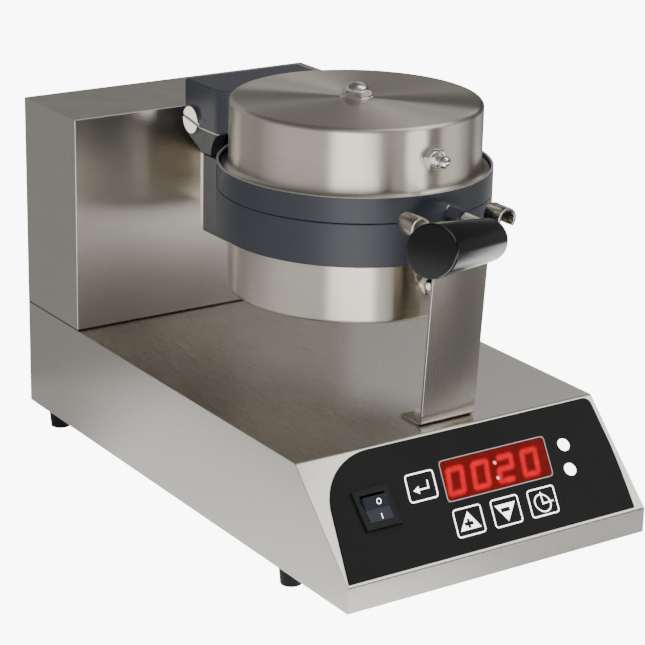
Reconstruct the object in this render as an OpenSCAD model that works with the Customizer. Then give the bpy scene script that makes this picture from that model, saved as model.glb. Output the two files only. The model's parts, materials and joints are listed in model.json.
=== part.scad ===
// Waffle cone maker: a folded steel housing with a sloped control panel, a rear tower,
// and a round two-plate baking head that is hinged at the tower and stands on a front leg.
// Origin: centre of the housing's footprint, on the table. X right, Y to the rear, Z up.

/* [Housing] */
// Width of the housing
housing_w = 254; // [250:1:260]
// Length of the housing, lip to rear wall
housing_l = 452; // [448:1:460]
// Height of the housing walls up to the deck
housing_h = 83; // [81:1:85]
// Height of the upright lip below the control panel
lip_h = 18; // [16:1:20]
// Thickness of the folded sheet
sheet_t = 1.5; // [1.2:0.1:1.8]
// Outer radius of the sheet's long bends
bend_r = 3; // [2.5:0.5:4]
// Height of the rubber feet
foot_h = 14; // [12:1:16]

/* [Tower] */
// Depth of the rear tower
tower_d = 82; // [78:1:84]
// Height of the tower's top above the table
tower_top = 263; // [258:1:268]

/* [Head] */
// Distance of the head's middle to the right of the housing's middle
head_x = 6; // [3:0.5:7]
// Distance of the head's middle behind the housing's middle
head_y = -30; // [-32:1:-28]
// Height of the joint face between the two plates
seam_z = 237.8; // [237:0.1:238.5]
// Hairline gap between the closed plates
seam_gap = 0.6; // [0.5:0.1:0.8]
// Outer radius of both cast plates
plate_r = 99; // [98:0.5:100]
// Height of the upper plate's rim
upper_rim_h = 18.1; // [18:0.1:19]
// Height of the lower plate's rim
lower_rim_h = 30.7; // [30:0.1:31.5]
// Distance of the covers' walls inside the plates' edge
cover_inset = 8.5; // [8:0.5:10]
// Height of the upper cover's top above the table
cover_top = 302; // [300:1:304]
// Height of the lower cover's floor above the table
cover_floor = 163; // [161:1:165]
// Thickness of the spun covers
cover_t = 1.2; // [1:0.1:1.5]
// Spacing of the waffle ribs
rib_pitch = 12; // [10:1:16]
// Width of one waffle rib
rib_w = 2.4; // [2:0.2:3]

/* [Hinge] */
// Width of the hinge block
block_w = 98; // [96:1:100]
// Thickness of the hinge block's cheeks
cheek_t = 10; // [9:0.5:11]
// Distance of the hinge pin behind the housing's middle
pin_y = 111.3; // [110.8:0.1:111.6]
// Height of the hinge pin above the table
pin_z = 260.9; // [260.5:0.1:261.5]
// Radius of the hinge pin
pin_r = 6; // [5:0.5:6.5]
// Height of the hinge block's top above the table
block_top = 290.5; // [289:0.5:291]

/* [Handle] */
// Radius of the handle's steel stem
stem_r = 5; // [4:0.5:5]
// Height of the stem above the table
stem_z = 246.5; // [246:0.5:247]
// Distance of the stem's bend in front of the housing's middle
stem_bend_y = 206; // [200:1:210]
// Turn of the grip from straight ahead toward the left
grip_turn = 57.7; // [50:0.1:62]
// Rise of the grip above level
grip_rise = 11.4; // [8:0.1:14]
// Length of the grip
grip_len = 105; // [95:1:120]
// Radius of the grip at its free end
grip_r = 17; // [16:0.5:18]
// Radius of the grip at the stem
grip_neck_r = 14.2; // [13:0.1:15]

/* [Leg] */
// Width of the front leg
leg_w = 46; // [42:1:47]
// Thickness of the leg's steel strip
leg_t = 2; // [1.5:0.5:2.5]
// Distance of the leg's foot bend in front of the housing's middle
leg_y = 151; // [150:1:152]
// Forward lean of the leg over its height
leg_lean = 9.8; // [9:0.1:10.5]
// Half the span between the rolled ears
ear_span = 29; // [27:0.5:31]
// Outer radius of a rolled ear
ear_r = 7.6; // [7:0.1:9]

/* [Controls] */
// Sideways slant of the keys and the window, per unit of height
slant = 0.2; // [0:0.01:0.24]
// Width of a key
key_w = 24; // [20:0.2:25]
// Height of a key
key_h = 20.6; // [17:0.2:21]
// Travel of a key
key_travel = 0.8; // [0.4:0.1:1]
// Width of the display window
window_w = 92; // [86:1:93]
// Height of the display window
window_h = 30.5; // [28:0.5:31]
// Width and height of the rocker switch's bezel
rocker_w = 29; // [28:0.5:30]
// Swing of the rocker switch
rocker_swing = 16; // [10:1:18]

/* [Hidden] */
$fn = 96;

steel = [0.72, 0.70, 0.67];
bright = [0.82, 0.81, 0.79];
coated = [0.22, 0.24, 0.29];
black = [0.06, 0.06, 0.06];

// small gap between pieces that are only placed side by side
slip = 0.3;
half_w = housing_w / 2;
half_l = housing_l / 2;
deck_z = foot_h + housing_h;
lip_z = foot_h + lip_h;
panel_rise = housing_h - lip_h;
panel_back = -half_l + panel_rise;
bend_reach = bend_r * tan(22.5);
tower_y = half_l - tower_d;

foot_x = half_w - 11;
foot_front_y = -142;
foot_rear_y = half_l - 30;
flange_w = 14;
bottom_screw_x = half_w - 8;

block_shift = -1.5;
block_x0 = head_x + block_shift - block_w / 2;
block_x1 = head_x + block_shift + block_w / 2;
block_front = head_y + plate_r - 5.5;
block_back = pin_y + 11;
block_low = seam_z + seam_gap + 0.2;
block_corner_r = 18;
tower_joint = 0.5;
post_back = 96;
post_low = seam_z - 59.5;
cover_r = plate_r - cover_inset;
seat_r = plate_r - 1.8;
ledge_r = plate_r - 13;
cook_r = plate_r - 8;
cook_depth = 1.5;
rib_h = 1.1;
upper_low = seam_z + seam_gap;
upper_top = upper_low + upper_rim_h;
upper_floor = upper_low + 10;
upper_ledge = upper_top - 4;
lower_low = seam_z - lower_rim_h;
lower_floor = seam_z - 14;
lower_ledge = lower_low + 4;
flange_r = plate_r - 2.5;
element_r = 60;
element_tube_r = 4;
stud_r = 5;
front_stud_r = 3;
front_stud_x = 1.2;
front_stud_up = 279;
front_stud_down = 189;
sleeve_z = 200;
sleeve_r = 5;
insulation_r = cover_r - 10.5;
sleeve_y0 = head_y + insulation_r + 1;

lobe_w = 20;
lobe_gap = 1;
hub_r = 16;
bush_r = pin_r + 2;
pin_running_gap = 0.05;

lug_half = 20;
lug_front = -156.5;
boss_r = 19.5;
boss_front = -147;
boss_edge = 7;
boss_z = upper_top - 4.5 - boss_r;

arm_w = 40;
arm_low = 184;
arm_high = 222;
arm_wall = 3;
arm_plate_t = 4;
arm_flange_w = 76;
arm_flange_low = 172;
arm_flange_high = 234;

board_half_w = half_w - 57;
board_front = half_l - 136;
board_back = half_l - 26;
board_low = foot_h + 9;
board_high = board_low + 1.6;
inlet_x = half_w - 47;
inlet_z = foot_h + 28;
inlet_r = 9;

overlay_t = 1;
key_gap = 0.3;
key_row_v = 23.4;
key_pitch = 31.9;
key_mid_u = 14.6;
key_set_u = -42;
key_set_v = 55.4;
window_u = 21.8;
window_v = 54.6;
rocker_u = -82.8;
rocker_v = 48.2;
rocker_body = rocker_w - 2;
paddle_w = 19.5;
paddle_h = 18.5;
paddle_axis_n = -4;
board_n = -13;
board_t = 1.6;
switch_h = 4;
led_r = 4.6;
led_places = [[84.2, 59.6], [80.4, 41]];

stem_dir = [-sin(grip_turn) * cos(grip_rise), -cos(grip_turn) * cos(grip_rise), sin(grip_rise)];
stem_bend = [head_x, -stem_bend_y, stem_z];
grip_gap = 35.8;
bend_cut = 22;
stem_in_grip = 80;
boss_depth = 14;
stem_nut_l = 14;
stem_nut_flats = 12.5;

function arc(cx, cy, r, a0, a1, n) =
    [for (i = [0:n]) [cx + r * cos(a0 + (a1 - a0) * i / n), cy + r * sin(a0 + (a1 - a0) * i / n)]];

// outline of the housing seen from the side, set in by t
function side_outline(t) = concat(
    [[-half_l + t, foot_h]],
    arc(-half_l + bend_r, lip_z - bend_reach, bend_r - t, 180, 135, 4),
    arc(panel_back + bend_reach, deck_z - bend_r, bend_r - t, 135, 90, 4),
    [[half_l - t, deck_z - t], [half_l - t, foot_h]]);

module along_x(x0, length) {
    translate([x0, 0, 0]) rotate([90, 0, 90]) linear_extrude(length) children();
}

module along_y(y0, length) {
    translate([0, y0 + length, 0]) rotate([90, 0, 0]) linear_extrude(length) children();
}

module block(x0, x1, y0, y1, z0, z1) {
    translate([x0, y0, z0]) cube([x1 - x0, y1 - y0, z1 - z0]);
}

module rod_x(x0, x1, y, z, r) {
    translate([x0, y, z]) rotate([0, 90, 0]) cylinder(h = x1 - x0, r = r);
}

module rod_y(y0, y1, x, z, r) {
    translate([x, y1, z]) rotate([90, 0, 0]) cylinder(h = y1 - y0, r = r);
}

module rod_z(z0, z1, x, y, r) {
    translate([x, y, z0]) cylinder(h = z1 - z0, r = r);
}

module hex_z(z0, z1, x, y, flats) {
    translate([x, y, z0]) cylinder(h = z1 - z0, r = flats / sqrt(3), $fn = 6);
}

module hex_y(y0, y1, x, z, flats) {
    translate([x, y1, z]) rotate([90, 0, 0]) cylinder(h = y1 - y0, r = flats / sqrt(3), $fn = 6);
}

// places children on the control panel: x across, y up the slope, z out of it
module on_panel(u = 0, v = 0, n = 0) {
    translate([0, -half_l, lip_z]) rotate([45, 0, 0]) translate([u, v, n]) children();
}

function slanted(w, h, s = slant) =
    [[-w / 2 - s * h / 2, -h / 2], [w / 2 - s * h / 2, -h / 2],
     [w / 2 + s * h / 2, h / 2], [-w / 2 + s * h / 2, h / 2]];

module on_head() {
    translate([head_x, head_y, 0]) children();
}

// four places near the corners of the bottom plate
module at_feet() {
    for (x = [-foot_x, foot_x], y = [foot_front_y, foot_rear_y]) translate([x, y, 0]) children();
}

module at_bottom_screws() {
    for (x = [-bottom_screw_x, bottom_screw_x], y = [-180, 30, 160]) translate([x, y, 0]) children();
}

module panel_openings(grow) {
    on_panel(rocker_u, rocker_v, -20) linear_extrude(40) square(rocker_body + 2 * grow, center = true);
    on_panel(window_u, window_v, -20) linear_extrude(40)
        polygon(slanted(window_w + 2 * grow, window_h + 2 * grow));
    for (i = [-1:1]) key_opening(key_mid_u + i * key_pitch, key_row_v, grow);
    key_opening(key_set_u, key_set_v, grow);
    for (p = led_places) on_panel(p[0], p[1], -20) cylinder(h = 40, r = led_r + grow);
}

module key_opening(u, v, grow) {
    on_panel(u, v, -20) linear_extrude(40)
        polygon(slanted(key_w + 2 * grow, key_h + 2 * grow));
}

module leg_screw_places() {
    for (x = [-12, 12]) translate([head_x + x, -135, 0]) children();
}

module tower_screw_places() {
    for (x = [-half_w + 9, half_w - 9], y = [tower_y + 18, half_l - 18])
        translate([x, y, 0]) children();
}

module housing() {
    color(steel) difference() {
        union() {
            difference() {
                along_x(-half_w, housing_w) polygon(side_outline(0));
                along_x(-half_w + sheet_t, housing_w - 2 * sheet_t)
                    polygon(concat(side_outline(sheet_t), [[half_l - sheet_t, foot_h - 1],
                        [-half_l + sheet_t, foot_h - 1]]));
            }
            for (s = [-1, 1])
                block(min(s * (half_w - sheet_t), s * (half_w - sheet_t - flange_w)),
                    max(s * (half_w - sheet_t), s * (half_w - sheet_t - flange_w)),
                    -200, 215, foot_h + sheet_t, foot_h + 2 * sheet_t);
        }
        panel_openings(key_gap);
        block(-80, 80, tower_y + 12, half_l - 12, deck_z - 5, deck_z + 1);
        leg_screw_places() rod_z(deck_z - 5, deck_z + 1, 0, 0, 2.5);
        tower_screw_places() rod_z(deck_z - 5, deck_z + 1, 0, 0, 2);
        rod_y(half_l - 5, half_l + 1, inlet_x, inlet_z, inlet_r);
        at_feet() rod_z(foot_h, foot_h + 6, 0, 0, 2);
        at_bottom_screws() rod_z(foot_h, foot_h + 6, 0, 0, 1.5);
    }
}

module bottom_plate() {
    color(steel) difference() {
        block(-half_w + sheet_t + slip, half_w - sheet_t - slip,
            -half_l + sheet_t + slip, half_l - sheet_t - slip, foot_h, foot_h + sheet_t);
        at_feet() rod_z(foot_h - 1, foot_h + 3, 0, 0, 2);
        at_bottom_screws() rod_z(foot_h - 1, foot_h + 3, 0, 0, 1.5);
        for (i = [0:6]) block(-40, 40, -60 + i * 12, -55 + i * 12, foot_h - 1, foot_h + 3);
        board_post_places() rod_z(foot_h - 1, foot_h + 3, 0, 0, 1.5);
    }
}

module bottom_screws() {
    color(bright) at_bottom_screws() {
        rod_z(foot_h - 1.6, foot_h, 0, 0, 3);
        rod_z(foot_h, foot_h + 5, 0, 0, 1.5);
    }
}

module feet() {
    color(black) at_feet() difference() {
        cylinder(h = foot_h, r1 = 7.6, r2 = 9);
        rod_z(-1, 6, 0, 0, 4.4);
        rod_z(5, foot_h + 1, 0, 0, 2);
    }
}

module foot_screws() {
    color(bright) at_feet() {
        rod_z(3, 6, 0, 0, 3.8);
        rod_z(6, foot_h + 8, 0, 0, 2);
        difference() {
            hex_z(foot_h + 2 * sheet_t, foot_h + 2 * sheet_t + 3.2, 0, 0, 7);
            rod_z(foot_h, foot_h + 9, 0, 0, 2);
        }
    }
}

module tower_shell() {
    color(steel) difference() {
        union() {
            difference() {
                block(-half_w, half_w, tower_y, half_l, deck_z + tower_joint, tower_top);
                block(-half_w + sheet_t, half_w - sheet_t, tower_y + sheet_t, half_l + 1,
                    deck_z - 1, tower_top - sheet_t);
            }
            for (s = [-1, 1]) {
                block(s * (half_w - sheet_t / 2 - 6) - 6, s * (half_w - sheet_t / 2 - 6) + 6,
                    tower_y + 1, half_l - 4, deck_z, deck_z + sheet_t);
                block(s * (half_w - 6) - 6, s * (half_w - 6) + 6,
                    half_l - 3 - sheet_t, half_l - 3, deck_z, tower_top - 1);
            }
            block(-half_w + 1, half_w - 1, half_l - 3 - sheet_t, half_l - 3,
                tower_top - 12, tower_top - 1);
            arm_stud_places() rod_y(tower_y + 1, tower_y + 14, 0, 0, 3);
        }
        block(head_x - arm_w / 2 - slip, head_x + arm_w / 2 + slip, tower_y - 1, tower_y + 3,
            arm_low - slip, arm_high + slip);
        tower_screw_places() rod_z(deck_z - 1, deck_z + 3, 0, 0, 2);
        back_screw_places() rod_y(half_l - 8, half_l, 0, 0, 1.5);
    }
}

module arm_stud_places() {
    for (x = [-30, 30], z = [arm_flange_low + 8, arm_flange_high - 8])
        translate([head_x + x, 0, z]) children();
}

module back_screw_places() {
    for (x = [-half_w + 7, half_w - 7], z = [deck_z + 20, tower_top - 25])
        translate([x, 0, z]) children();
}

module tower_back() {
    color(steel) difference() {
        block(-half_w + sheet_t + slip, half_w - sheet_t - slip, half_l - 3, half_l - 3 + sheet_t,
            deck_z + slip, tower_top - sheet_t - slip);
        back_screw_places() rod_y(half_l - 8, half_l, 0, 0, 1.5);
        for (i = [0:6]) block(-45, 45, half_l - 8, half_l + 1, 190 + i * 8, 193 + i * 8);
    }
}

module tower_back_screws() {
    color(bright) back_screw_places() {
        rod_y(half_l - 3 + sheet_t, half_l - 3 + sheet_t + 1.4, 0, 0, 3);
        rod_y(half_l - 9, half_l - 3 + sheet_t, 0, 0, 1.5);
    }
}

module tower_screws() {
    color(bright) tower_screw_places() {
        rod_z(deck_z + sheet_t, deck_z + sheet_t + 2.4, 0, 0, 3.8);
        rod_z(deck_z - 5, deck_z + sheet_t, 0, 0, 2);
    }
}

module head_arm() {
    color(steel) difference() {
        union() {
            block(block_x0, block_x1, post_back, post_back + arm_plate_t, post_low + 4, seam_z + 0.2);
            block(head_x - arm_w / 2, head_x + arm_w / 2, post_back + 1, tower_y + 4,
                arm_low, arm_high);
            block(head_x - arm_flange_w / 2, head_x + arm_flange_w / 2, tower_y + sheet_t,
                tower_y + sheet_t + arm_plate_t, arm_flange_low, arm_flange_high);
        }
        block(head_x - arm_w / 2 + arm_wall, head_x + arm_w / 2 - arm_wall, post_back - 1,
            tower_y + 20, arm_low + arm_wall, arm_high - arm_wall);
        block(block_x0 + cheek_t - 1, block_x1 - cheek_t + 1, post_back - 1,
            post_back + arm_plate_t + 1, arm_high + 1, seam_z + 5);
        arm_stud_places() rod_y(tower_y, tower_y + 20, 0, 0, 3.1);
        flange_screw_places() rod_y(post_back - 1, post_back + 8, 0, 0, 2.5);
    }
}

module arm_nuts() {
    color(bright) arm_stud_places() difference() {
        hex_y(tower_y + sheet_t + arm_plate_t, tower_y + sheet_t + arm_plate_t + 5, 0, 0, 10);
        rod_y(tower_y, tower_y + 20, 0, 0, 3);
    }
}

module flange_screw_places() {
    for (x = [-33, 33], z = [191, 215]) translate([head_x + x, 0, z]) children();
}

module flange_screws() {
    color(bright) flange_screw_places() {
        difference() {
            rod_y(post_back + arm_plate_t, post_back + arm_plate_t + 5, 0, 0, 4.2);
            hex_y(post_back + arm_plate_t + 2.5, post_back + arm_plate_t + 6, 0, 0, 4);
        }
        rod_y(post_back - 7, post_back + arm_plate_t, 0, 0, 2.5);
    }
}

module lead_sleeve() {
    color([0.75, 0.72, 0.62]) difference() {
        rod_y(sleeve_y0, tower_y + 30, head_x, sleeve_z, sleeve_r);
        rod_y(sleeve_y0 - 1, tower_y + 31, head_x, sleeve_z, sleeve_r - 1.2);
    }
}

module cord_inlet() {
    color(black) difference() {
        union() {
            rod_y(half_l, half_l + 6, inlet_x, inlet_z, 12);
            rod_y(half_l - 12, half_l, inlet_x, inlet_z, inlet_r - 0.2);
            hex_y(half_l - 8, half_l - sheet_t, inlet_x, inlet_z, 22);
        }
        rod_y(half_l - 13, half_l + 7, inlet_x, inlet_z, 4.5);
    }
}

// outline of the black panel sheet: one large round corner at the upper left
module overlay_outline() {
    polygon(concat(
        [[-125, 2.5], [118.5, 2.5], [120.3, 18], [121.9, 34], [123, 52]],
        arc(117.5, 84.5, 5.5, 0, 90, 5),
        arc(-71, 44.5, 45.5, 90, 172, 12)));
}

module overlay() {
    color(black) difference() {
        on_panel() linear_extrude(overlay_t) overlay_outline();
        panel_openings(key_gap);
    }
}

module display_window() {
    color([0.25, 0.03, 0.02]) on_panel(window_u, window_v, -1.6)
        linear_extrude(1.6 + overlay_t - 0.1) polygon(slanted(window_w, window_h));
}

module display_module() {
    color([0.1, 0.1, 0.1]) on_panel(window_u, window_v, board_n + board_t)
        linear_extrude(-board_n - board_t - 2.2) square([84, 27], center = true);
}

module panel_board() {
    color([0.05, 0.3, 0.12]) difference() {
        on_panel(15, 42, board_n) linear_extrude(board_t) square([158, 66], center = true);
        on_panel() standoff_places() translate([0, 0, board_n - 1]) cylinder(h = 4, r = 1.5);
    }
}

module standoff_places() {
    for (u = [-59, 90], v = [13, 72]) translate([u, v, 0]) children();
}

module board_standoffs() {
    color(bright) on_panel() standoff_places() {
        translate([0, 0, board_n + board_t])
            cylinder(h = -board_n - board_t - sheet_t, r = 2.5);
        translate([0, 0, board_n - 4]) cylinder(h = 4 + board_t, r = 1.5);
        translate([0, 0, board_n - 2.4]) difference() {
            cylinder(h = 2.4, r = 3.2, $fn = 6);
            translate([0, 0, -1]) cylinder(h = 5, r = 1.5, $fn = 48);
        }
    }
}

module key_places() {
    for (i = [-1:1]) translate([key_mid_u + i * key_pitch, key_row_v, 0]) children();
    translate([key_set_u, key_set_v, 0]) children();
}

module key_switches() {
    color([0.15, 0.15, 0.15]) on_panel() key_places() translate([0, 0, board_n + board_t]) {
        translate([-3, -3, 0]) cube([6, 6, switch_h - 0.6]);
        cylinder(h = switch_h - 0.05, r = 1.6);
    }
}

module key(u, v) {
    color(black) on_panel(u, v) {
        translate([0, 0, -1.8]) linear_extrude(1.8 + overlay_t + 0.2)
            polygon(slanted(key_w, key_h));
        translate([0, 0, -2.9]) linear_extrude(1.1)
            polygon(slanted(key_w + 2.4, key_h + 2.4));
        translate([0, 0, board_n + board_t + switch_h + key_travel + 0.1])
            cylinder(h = -board_n - board_t - switch_h - key_travel - 2.9, r = 2.5);
    }
}

module key_set() { key(key_set_u, key_set_v); }

module key_up() { key(key_mid_u - key_pitch, key_row_v); }

module key_down() { key(key_mid_u, key_row_v); }

module key_timer() { key(key_mid_u + key_pitch, key_row_v); }

module indicator_lenses() {
    color([0.9, 0.9, 0.88]) on_panel() for (p = led_places) translate([p[0], p[1], 0]) {
        translate([0, 0, -1.6]) cylinder(h = 1.6 + overlay_t + 0.3, r = led_r);
        translate([0, 0, board_n + board_t]) cylinder(h = -board_n - board_t - 1.6, r = 2.5);
    }
}

module rocker_housing() {
    color(black) on_panel(rocker_u, rocker_v) difference() {
        union() {
            translate([0, 0, overlay_t]) linear_extrude(2) square(rocker_w, center = true);
            translate([0, 0, -18]) linear_extrude(18 + overlay_t)
                square(rocker_body, center = true);
            for (u = [-7, 0, 7]) translate([u - 2.4, -0.4, -26]) cube([4.8, 0.8, 8]);
        }
        translate([0, 0, -14]) linear_extrude(20)
            square([paddle_w + 0.6, paddle_h + 1.6], center = true);
        translate([-paddle_w / 2 - 2, 0, paddle_axis_n]) rotate([0, 90, 0])
            cylinder(h = paddle_w + 4, r = 1.65);
    }
}

// the paddle's two faces meet in a shallow valley; it is stored pressed at its lower end
module rocker_paddle() {
    color(black) on_panel(rocker_u, rocker_v, paddle_axis_n)
        rotate([rocker_swing / 2, 0, 0]) {
            rotate([90, 0, 90]) translate([0, 0, -paddle_w / 2]) linear_extrude(paddle_w)
                polygon([[-paddle_h / 2, 1], [-3, -5], [3, -5], [paddle_h / 2, 1],
                    [paddle_h / 2 - 0.4, 8.6], [0, 7.2], [-paddle_h / 2 + 0.4, 8.6]]);
            translate([-paddle_w / 2 - 1.8, 0, 0]) rotate([0, 90, 0])
                cylinder(h = paddle_w + 3.6, r = 1.6);
        }
}

module board_post_places() {
    for (x = [-1, 1] * (board_half_w - 10), y = [board_front + 10, board_back - 10])
        translate([x, y, 0]) children();
}

module power_board() {
    color([0.05, 0.3, 0.12]) difference() {
        block(-board_half_w, board_half_w, board_front, board_back, board_low, board_high);
        board_post_places() rod_z(board_low - 1, board_high + 1, 0, 0, 1.5);
    }
    color(bright) board_post_places() {
        rod_z(foot_h + sheet_t, board_low, 0, 0, 3);
        rod_z(foot_h - 0.9, foot_h + sheet_t, 0, 0, 1.5);
        rod_z(board_low, board_high + 1.4, 0, 0, 1.5);
    }
}

module transformer() {
    color([0.35, 0.3, 0.25])
        block(-62, -14, board_front + 22, board_front + 62, board_high, board_high + 33.4);
}

module relay() {
    color([0.1, 0.15, 0.35])
        block(2, 32, board_front + 22, board_front + 50, board_high, board_high + 25.4);
}

module terminal_block() {
    color([0.85, 0.85, 0.8]) difference() {
        block(-30, 56, board_back - 34, board_back - 14, board_high, board_high + 17.4);
        for (i = [0:5])
            rod_z(board_high + 7.4, board_high + 18.4, -20 + i * 13, board_back - 24, 2.5);
    }
}

function leg_front(z) = -leg_y - leg_lean * (z - deck_z) / (seam_z - deck_z);

// the leg, its foot and its upper tray are one bent strip; the tray's ends are rolled over
module support_leg() {
    tray_back = -143.8;
    tray_low = seam_z - leg_t;
    ear_heights = [241, 245];
    color(steel) difference() {
        union() {
            along_x(head_x - leg_w / 2, leg_w) polygon([
                [-127, deck_z], [leg_front(deck_z), deck_z], [leg_front(seam_z), seam_z],
                [tray_back, seam_z], [tray_back, tray_low],
                [leg_front(tray_low) + leg_t, tray_low],
                [leg_front(deck_z + leg_t) + leg_t, deck_z + leg_t], [-127, deck_z + leg_t]]);
            along_y(leg_front(seam_z), tray_back - leg_front(seam_z))
                translate([head_x, 0]) {
                    translate([-ear_span - leg_t, tray_low])
                        square([2 * (ear_span + leg_t), leg_t]);
                    for (s = [0, 1]) mirror([s, 0]) {
                        translate([ear_span + ear_r, ear_heights[s]])
                            polygon(concat(arc(0, 0, ear_r, -50, 180, 23),
                                arc(0, 0, ear_r - leg_t, 180, -50, 23)));
                        translate([ear_span, tray_low])
                            square([leg_t, ear_heights[s] - tray_low]);
                    }
                }
        }
        leg_screw_places() rod_z(deck_z - 1, deck_z + 4, 0, 0, 2.5);
        lug_screw_places() rod_z(seam_z - 4, seam_z + 2, 0, 0, 2.5);
    }
}

module lug_screw_places() {
    for (x = [-14, 14]) translate([head_x + x, -152.4, 0]) children();
}

module leg_screws() {
    color(bright) leg_screw_places() {
        rod_z(deck_z + leg_t, deck_z + leg_t + 3, 0, 0, 4.4);
        rod_z(deck_z - 9, deck_z + leg_t, 0, 0, 2.5);
        difference() {
            hex_z(deck_z - sheet_t - 4, deck_z - sheet_t, 0, 0, 8);
            rod_z(deck_z - 9, deck_z, 0, 0, 2.5);
        }
    }
}

module lug_screws() {
    color(bright) lug_screw_places() {
        rod_z(seam_z, seam_z + 2.6, 0, 0, 4.3);
        rod_z(seam_z - 12, seam_z, 0, 0, 2.5);
    }
}

// raised bars of the waffle pattern, crossing at right angles
module waffle_ribs() {
    count = floor(cook_r / rib_pitch);
    linear_extrude(rib_h) intersection() {
        circle(r = cook_r - 1);
        union() for (a = [0, 90], i = [-count:count])
            rotate(a + 45) translate([i * rib_pitch, 0]) square([rib_w, 2 * cook_r], center = true);
    }
}

module lower_plate() {
    color(coated) difference() {
        union() {
            on_head() difference() {
                rod_z(lower_low, seam_z, 0, 0, plate_r);
                rod_z(seam_z - cook_depth, seam_z + 1, 0, 0, cook_r);
            }
            on_head() translate([0, 0, seam_z - cook_depth]) waffle_ribs();
            difference() {
                block(block_x0, block_x1, head_y + 70, post_back, post_low, seam_z);
                on_head() rod_z(post_low - 1, seam_z + 1, 0, 0, plate_r - 1);
            }
            for (x = [block_x0 + cheek_t + lobe_gap, block_x1 - cheek_t - lobe_gap - lobe_w])
                along_x(x, lobe_w) knuckle_outline();
            block(head_x - lug_half, head_x + lug_half, lug_front, head_y - plate_r + 4,
                seam_z - 26, seam_z - leg_t);
        }
        on_head() rod_z(post_low - 1, lower_ledge, 0, 0, seat_r);
        on_head() rod_z(lower_ledge - 1, lower_floor, 0, 0, ledge_r);
        block(block_x0 + cheek_t, block_x1 - cheek_t, 72, 86, post_low - 1, seam_z - 8);
        rod_y(60, post_back + 1, head_x, sleeve_z, sleeve_r + 0.3);
        rod_x(block_x0, block_x1, pin_y, pin_z, bush_r);
        flange_screw_places() rod_y(post_back - 7, post_back + 1, 0, 0, 2.5);
        lug_screw_places() rod_z(seam_z - 12, seam_z, 0, 0, 2.5);
        on_head() rod_z(lower_floor - 1, lower_floor + 6, 0, 0, stud_r);
    }
}

// bracket that carries the hinge pin, with a nose that stops the open lid
module knuckle_outline() {
    translate([pin_y, pin_z]) circle(r = hub_r);
    polygon([[83, seam_z - 6], [83, seam_z - 1], [98.5, 268], [pin_y, pin_z],
        [126.5, 256], [112, 229], [95, 224], [90, 224]]);
    polygon([[pin_y, pin_z], [126.8, 260], [131, 249.2], [128, 246], [118, 244]]);
}

module element(z, up) {
    color([0.4, 0.4, 0.38]) on_head() {
        translate([0, 0, z]) rotate_extrude() translate([element_r, 0]) circle(r = element_tube_r);
        for (x = [-14, 14]) translate([x, sqrt(element_r * element_r - x * x), z])
            rotate([up > 0 ? 0 : 180, 0, 0]) cylinder(h = 16, r = 3);
    }
}

module lower_element() { element(lower_floor - element_tube_r - 0.05, -1); }

module upper_element() { element(upper_floor + element_tube_r + 0.05, 1); }

module clamp_bar(z0) {
    color(bright) on_head() difference() {
        block(-70, 70, -8, 8, z0, z0 + 2);
        rod_z(z0 - 1, z0 + 3, 0, 0, stud_r + 0.1);
    }
}

module lower_clamp() { clamp_bar(lower_floor - 2 * element_tube_r - 2.2); }

module upper_clamp() { clamp_bar(upper_floor + 2 * element_tube_r + 0.2); }

module insulation(z0, z1) {
    color([0.9, 0.88, 0.8]) on_head() difference() {
        rod_z(z0, z1, 0, 0, insulation_r);
        rod_z(z0 - 1, z1 + 1, 0, 0, stud_r + 0.5);
        for (x = [-14, 14])
            rod_z(z0 - 1, z1 + 1, x, sqrt(element_r * element_r - x * x), 4);
    }
}

module lower_insulation() { insulation(cover_floor + 12, lower_floor - 14); }

module upper_insulation() { insulation(upper_floor + 14, cover_top - 6); }

module lower_stud() {
    color(bright) on_head() rod_z(cover_floor - 6, lower_floor + 6, 0, 0, stud_r);
}

module upper_stud() {
    color(bright) on_head() rod_z(upper_floor - 6, cover_top + 6, 0, 0, stud_r);
}

// half section of a spun cover: seat flange, flare, wall, rounded rim and closed end
function cover_section(h) = concat(
    [[flange_r, 0], [flange_r, cover_t]],
    arc(cover_r + 4, cover_t + 4, 4, 270, 180, 6),
    arc(cover_r - 4, h - 4, 4, 0, 90, 6),
    [[0, h], [0, h - cover_t]],
    arc(cover_r - 4, h - 4, 4 - cover_t, 90, 0, 6),
    [[cover_r - cover_t, 0]]);

module cover_shell(h, stud_h) {
    difference() {
        rotate_extrude($fn = 144) polygon(cover_section(h));
        rod_z(h - 5, h + 5, 0, 0, stud_r + 0.1);
        rod_y(-cover_r - 5, -cover_r + 10, front_stud_x, stud_h, front_stud_r);
    }
}

module upper_cover() {
    color(steel) on_head() translate([0, 0, upper_ledge])
        cover_shell(cover_top - upper_ledge, front_stud_up - upper_ledge);
}

module lower_cover() {
    color(steel) difference() {
        on_head() translate([0, 0, lower_ledge]) mirror([0, 0, 1])
            cover_shell(lower_ledge - cover_floor, lower_ledge - front_stud_down);
        rod_y(50, 70, head_x, sleeve_z, sleeve_r + 0.3);
    }
}

// flanged hexagon nut with a domed end
module dome_nut() {
    difference() {
        union() {
            rod_z(0, 1.6, 0, 0, 12);
            hex_z(1.6, 6, 0, 0, 19);
            translate([0, 0, 3.2]) sphere(r = 8);
        }
        rod_z(-9, 6, 0, 0, stud_r);
        rod_z(-9, 0, 0, 0, 14);
    }
}

module upper_cover_nut() {
    color(bright) on_head() translate([0, 0, cover_top]) dome_nut();
}

module lower_cover_nut() {
    color(bright) on_head() translate([0, 0, cover_floor]) mirror([0, 0, 1]) dome_nut();
}

module front_stud(z) {
    color(bright)
        rod_y(head_y - cover_r - 14, head_y - cover_r + 9, head_x + front_stud_x, z, front_stud_r);
}

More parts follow.
